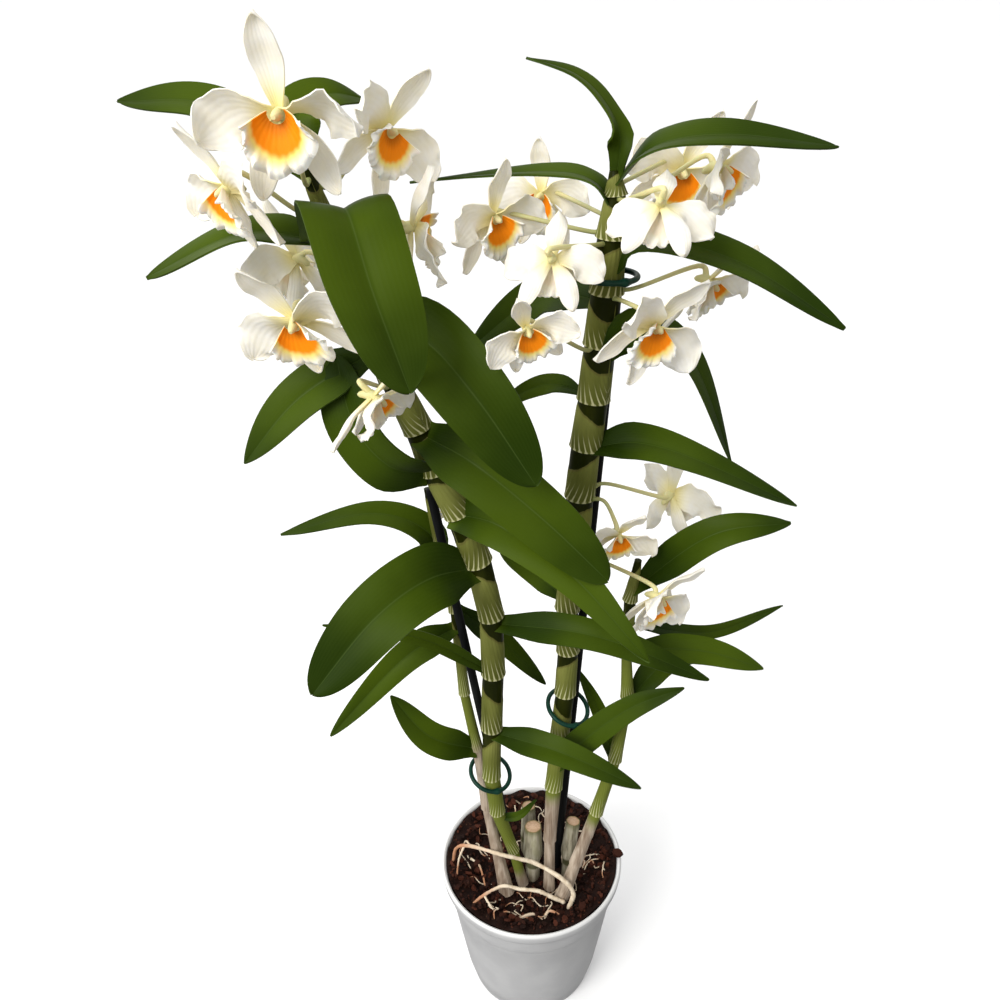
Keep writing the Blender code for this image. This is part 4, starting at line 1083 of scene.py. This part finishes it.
def grow_lip(shape, matrix, rng):
    """A throat under the column that opens to a round trumpet with a frilled rim."""
    s, t = np.linspace(-1, 1, 73), np.linspace(0, 1, 27)
    across, along = np.meshgrid(s, t)
    radius = THROAT_RADIUS + LIP_FLARE * along**0.9
    angle = across * (2.0 + 0.15 * along)
    phase = rng.uniform(0, 6.28, 5)
    rim = ease((along - 0.55) / 0.45)
    frill = (np.sin(9 * angle + phase[0]) + 0.7 * np.sin(15 * angle + phase[1])
             + 0.4 * np.sin(27 * angle + phase[2]))
    depth = THROAT_START + LIP_REACH * along - LIP_BELLY * along**2 * np.cos(angle)
    depth += rim * (LIP_FRILL * frill - LIP_RECURVE * ease((along - 0.8) / 0.3))
    waves = 0.0006 * np.sin(7 * angle + phase[3]) + 0.0010 * np.cos(3 * angle + phase[4])
    spread = radius + rim * waves
    height = THROAT_RISE - LIP_DROP * along - spread * np.cos(angle)
    grid = np.stack([spread * np.sin(angle), depth, height], axis=-1)
    shape.sheet(placed(matrix, grid), LIP_THICKNESS, 0, across, along)


# %% Stalk and column builder
HEM_SHARE = 0.12
JOINT_SWELL, HEM_SWELL = 0.98, 1.12
STALK_RADIUS = 0.00095
STALK_SWELL, STALK_FOOT = 0.0007, 0.0005
COLUMN_GIRTH = ([0, 0.06, 0.33, 0.66, 0.93, 1], [0.0006, 0.0016, 0.0030, 0.0027, 0.0018, 0.0008])


def on_cane(cane, height, toward):
    """A point on the skin of a solid cane at a height, on the side that faces a target."""
    rows = CANES[cane]
    k = np.searchsorted(rows[:, 2], height)
    share = (height - rows[k - 1, 2]) / (rows[k, 2] - rows[k - 1, 2])
    *axis, radius = rows[k - 1] + (rows[k] - rows[k - 1]) * share
    swell = np.interp(share, [0, HEM_SHARE, 1], [JOINT_SWELL, HEM_SWELL, JOINT_SWELL])
    way = unit((np.array(toward) - axis) * (1, 1, 0))
    return axis + way * radius * swell, way


def grow_stalk(shape, matrix, cane, height, scale):
    """The chin, the column and the stalk that ties the bloom to its joint."""
    back = matrix @ Vector((0, -0.010, 0.001))
    start, way = on_cane(cane, height, back)
    route = [start - way * 0.002, start + way * 0.007 + (0, 0, 0.001), back,
             matrix @ Vector((0, -0.0012, 0))]
    t = np.linspace(0, 1, 22)
    girth = STALK_RADIUS + STALK_SWELL * t**3 + STALK_FOOT * (1 - t) ** 8
    shape.tube(smooth_path(route, t), girth, 12, 1, along=t)
    t = np.linspace(0, 1, 18)
    body = smooth_path([matrix @ Vector(point) for point in COLUMN_POINTS], t)
    girth = np.interp(t, *COLUMN_GIRTH) * scale
    shape.tube(body, girth, 16, 1, along=0.5 + 0.5 * t)


# %% Grow the blooms
for number, (cane, height, centre, turn, rise, roll, scale, cup, twist) in enumerate(BLOOMS, start=1):
    rng = np.random.default_rng(100 + number)
    matrix = bloom_matrix(metres(centre), turn, rise, roll, scale)
    bloom, lip = Shape(), Shape()
    for part in TEPALS:
        grow_tepal(bloom, matrix, part, cup, twist, rng)
    grow_stalk(bloom, matrix, cane, metres(height), scale)
    grow_lip(lip, matrix, rng)
    node = f"bloom_{number:02d}"
    bloom.build(node + "_dressed", [tepal_white, stalk_paint], [node], "tepal")
    node = f"lip_{number:02d}"
    lip.build(node + "_dressed", [lip_paint], [node], "lip")

# %% [markdown]
# ## Floor, lamp and sky
# A wide pale floor catches a faint shadow. It is kept out of the bounced light, and the sky below
# the horizon is dim, so undersides and the pot's wall fall into shade. One broad lamp stands at the
# upper left, and the sky is brighter on that side too, which rounds the pot and the blooms. Where
# the camera looks past the plant it sees plain white, as in the photograph.

# %% Floor
material, _ = start_material("pale floor")
pale_floor = finish_material(material, {"Base Color": (0.97, 0.97, 0.97, 1), "Roughness": 0.9})
sheet = bpy.data.meshes.new("floor")
REACH = 600.0
sheet.from_pydata([(-REACH, -REACH, 0), (REACH, -REACH, 0), (REACH, REACH, 0), (-REACH, REACH, 0)], [],
                  [(0, 1, 2, 3)])
sheet.materials.append(pale_floor)
floor = put("floor", sheet)
floor.visible_diffuse = False
floor.visible_glossy = False
print("floor:", 2 * REACH, "m wide")

# %% Lamp
KEY_PLACE = (-1.0, -1.3, 1.6)
KEY_AIM = (0, 0, 0.4)
KEY_WATTS, KEY_SIZE = 30, 1.0
light = bpy.data.lights.new("key", "AREA")
light.energy, light.size = KEY_WATTS, KEY_SIZE
light.color = (1.0, 0.985, 0.96)
key = put("key", light)
key.location = KEY_PLACE
key.rotation_euler = (Vector(KEY_PLACE) - Vector(KEY_AIM)).to_track_quat("Z", "Y").to_euler()
print("lamp:", KEY_WATTS, "W from", KEY_PLACE)

# %% Sky
SKY_ABOVE = 1.06
SKY_BELOW = 0.36
SKY_LEAN = -0.60
HORIZON = (-0.03, -0.003)

world = bpy.data.worlds.new("studio")
bpy.context.scene.world = world
world.use_nodes = True
backdrop = world.node_tree.nodes["Background"]
way = Paint(world.node_tree).node("TexCoord", output="Generated")
height, side = (way.node("SeparateXYZ", {}, {"Vector": way}, output=axis) for axis in ("Z", "X"))
glow = height.step(*HORIZON) * (side * SKY_LEAN + (SKY_ABOVE - SKY_BELOW)) + SKY_BELOW
glow = glow.maths("MAXIMUM", way.node("LightPath", output="Is Camera Ray"))
world.node_tree.links.new(glow.socket, backdrop.inputs["Color"])
print("sky:", SKY_ABOVE, "above the horizon,", SKY_BELOW, "below it")
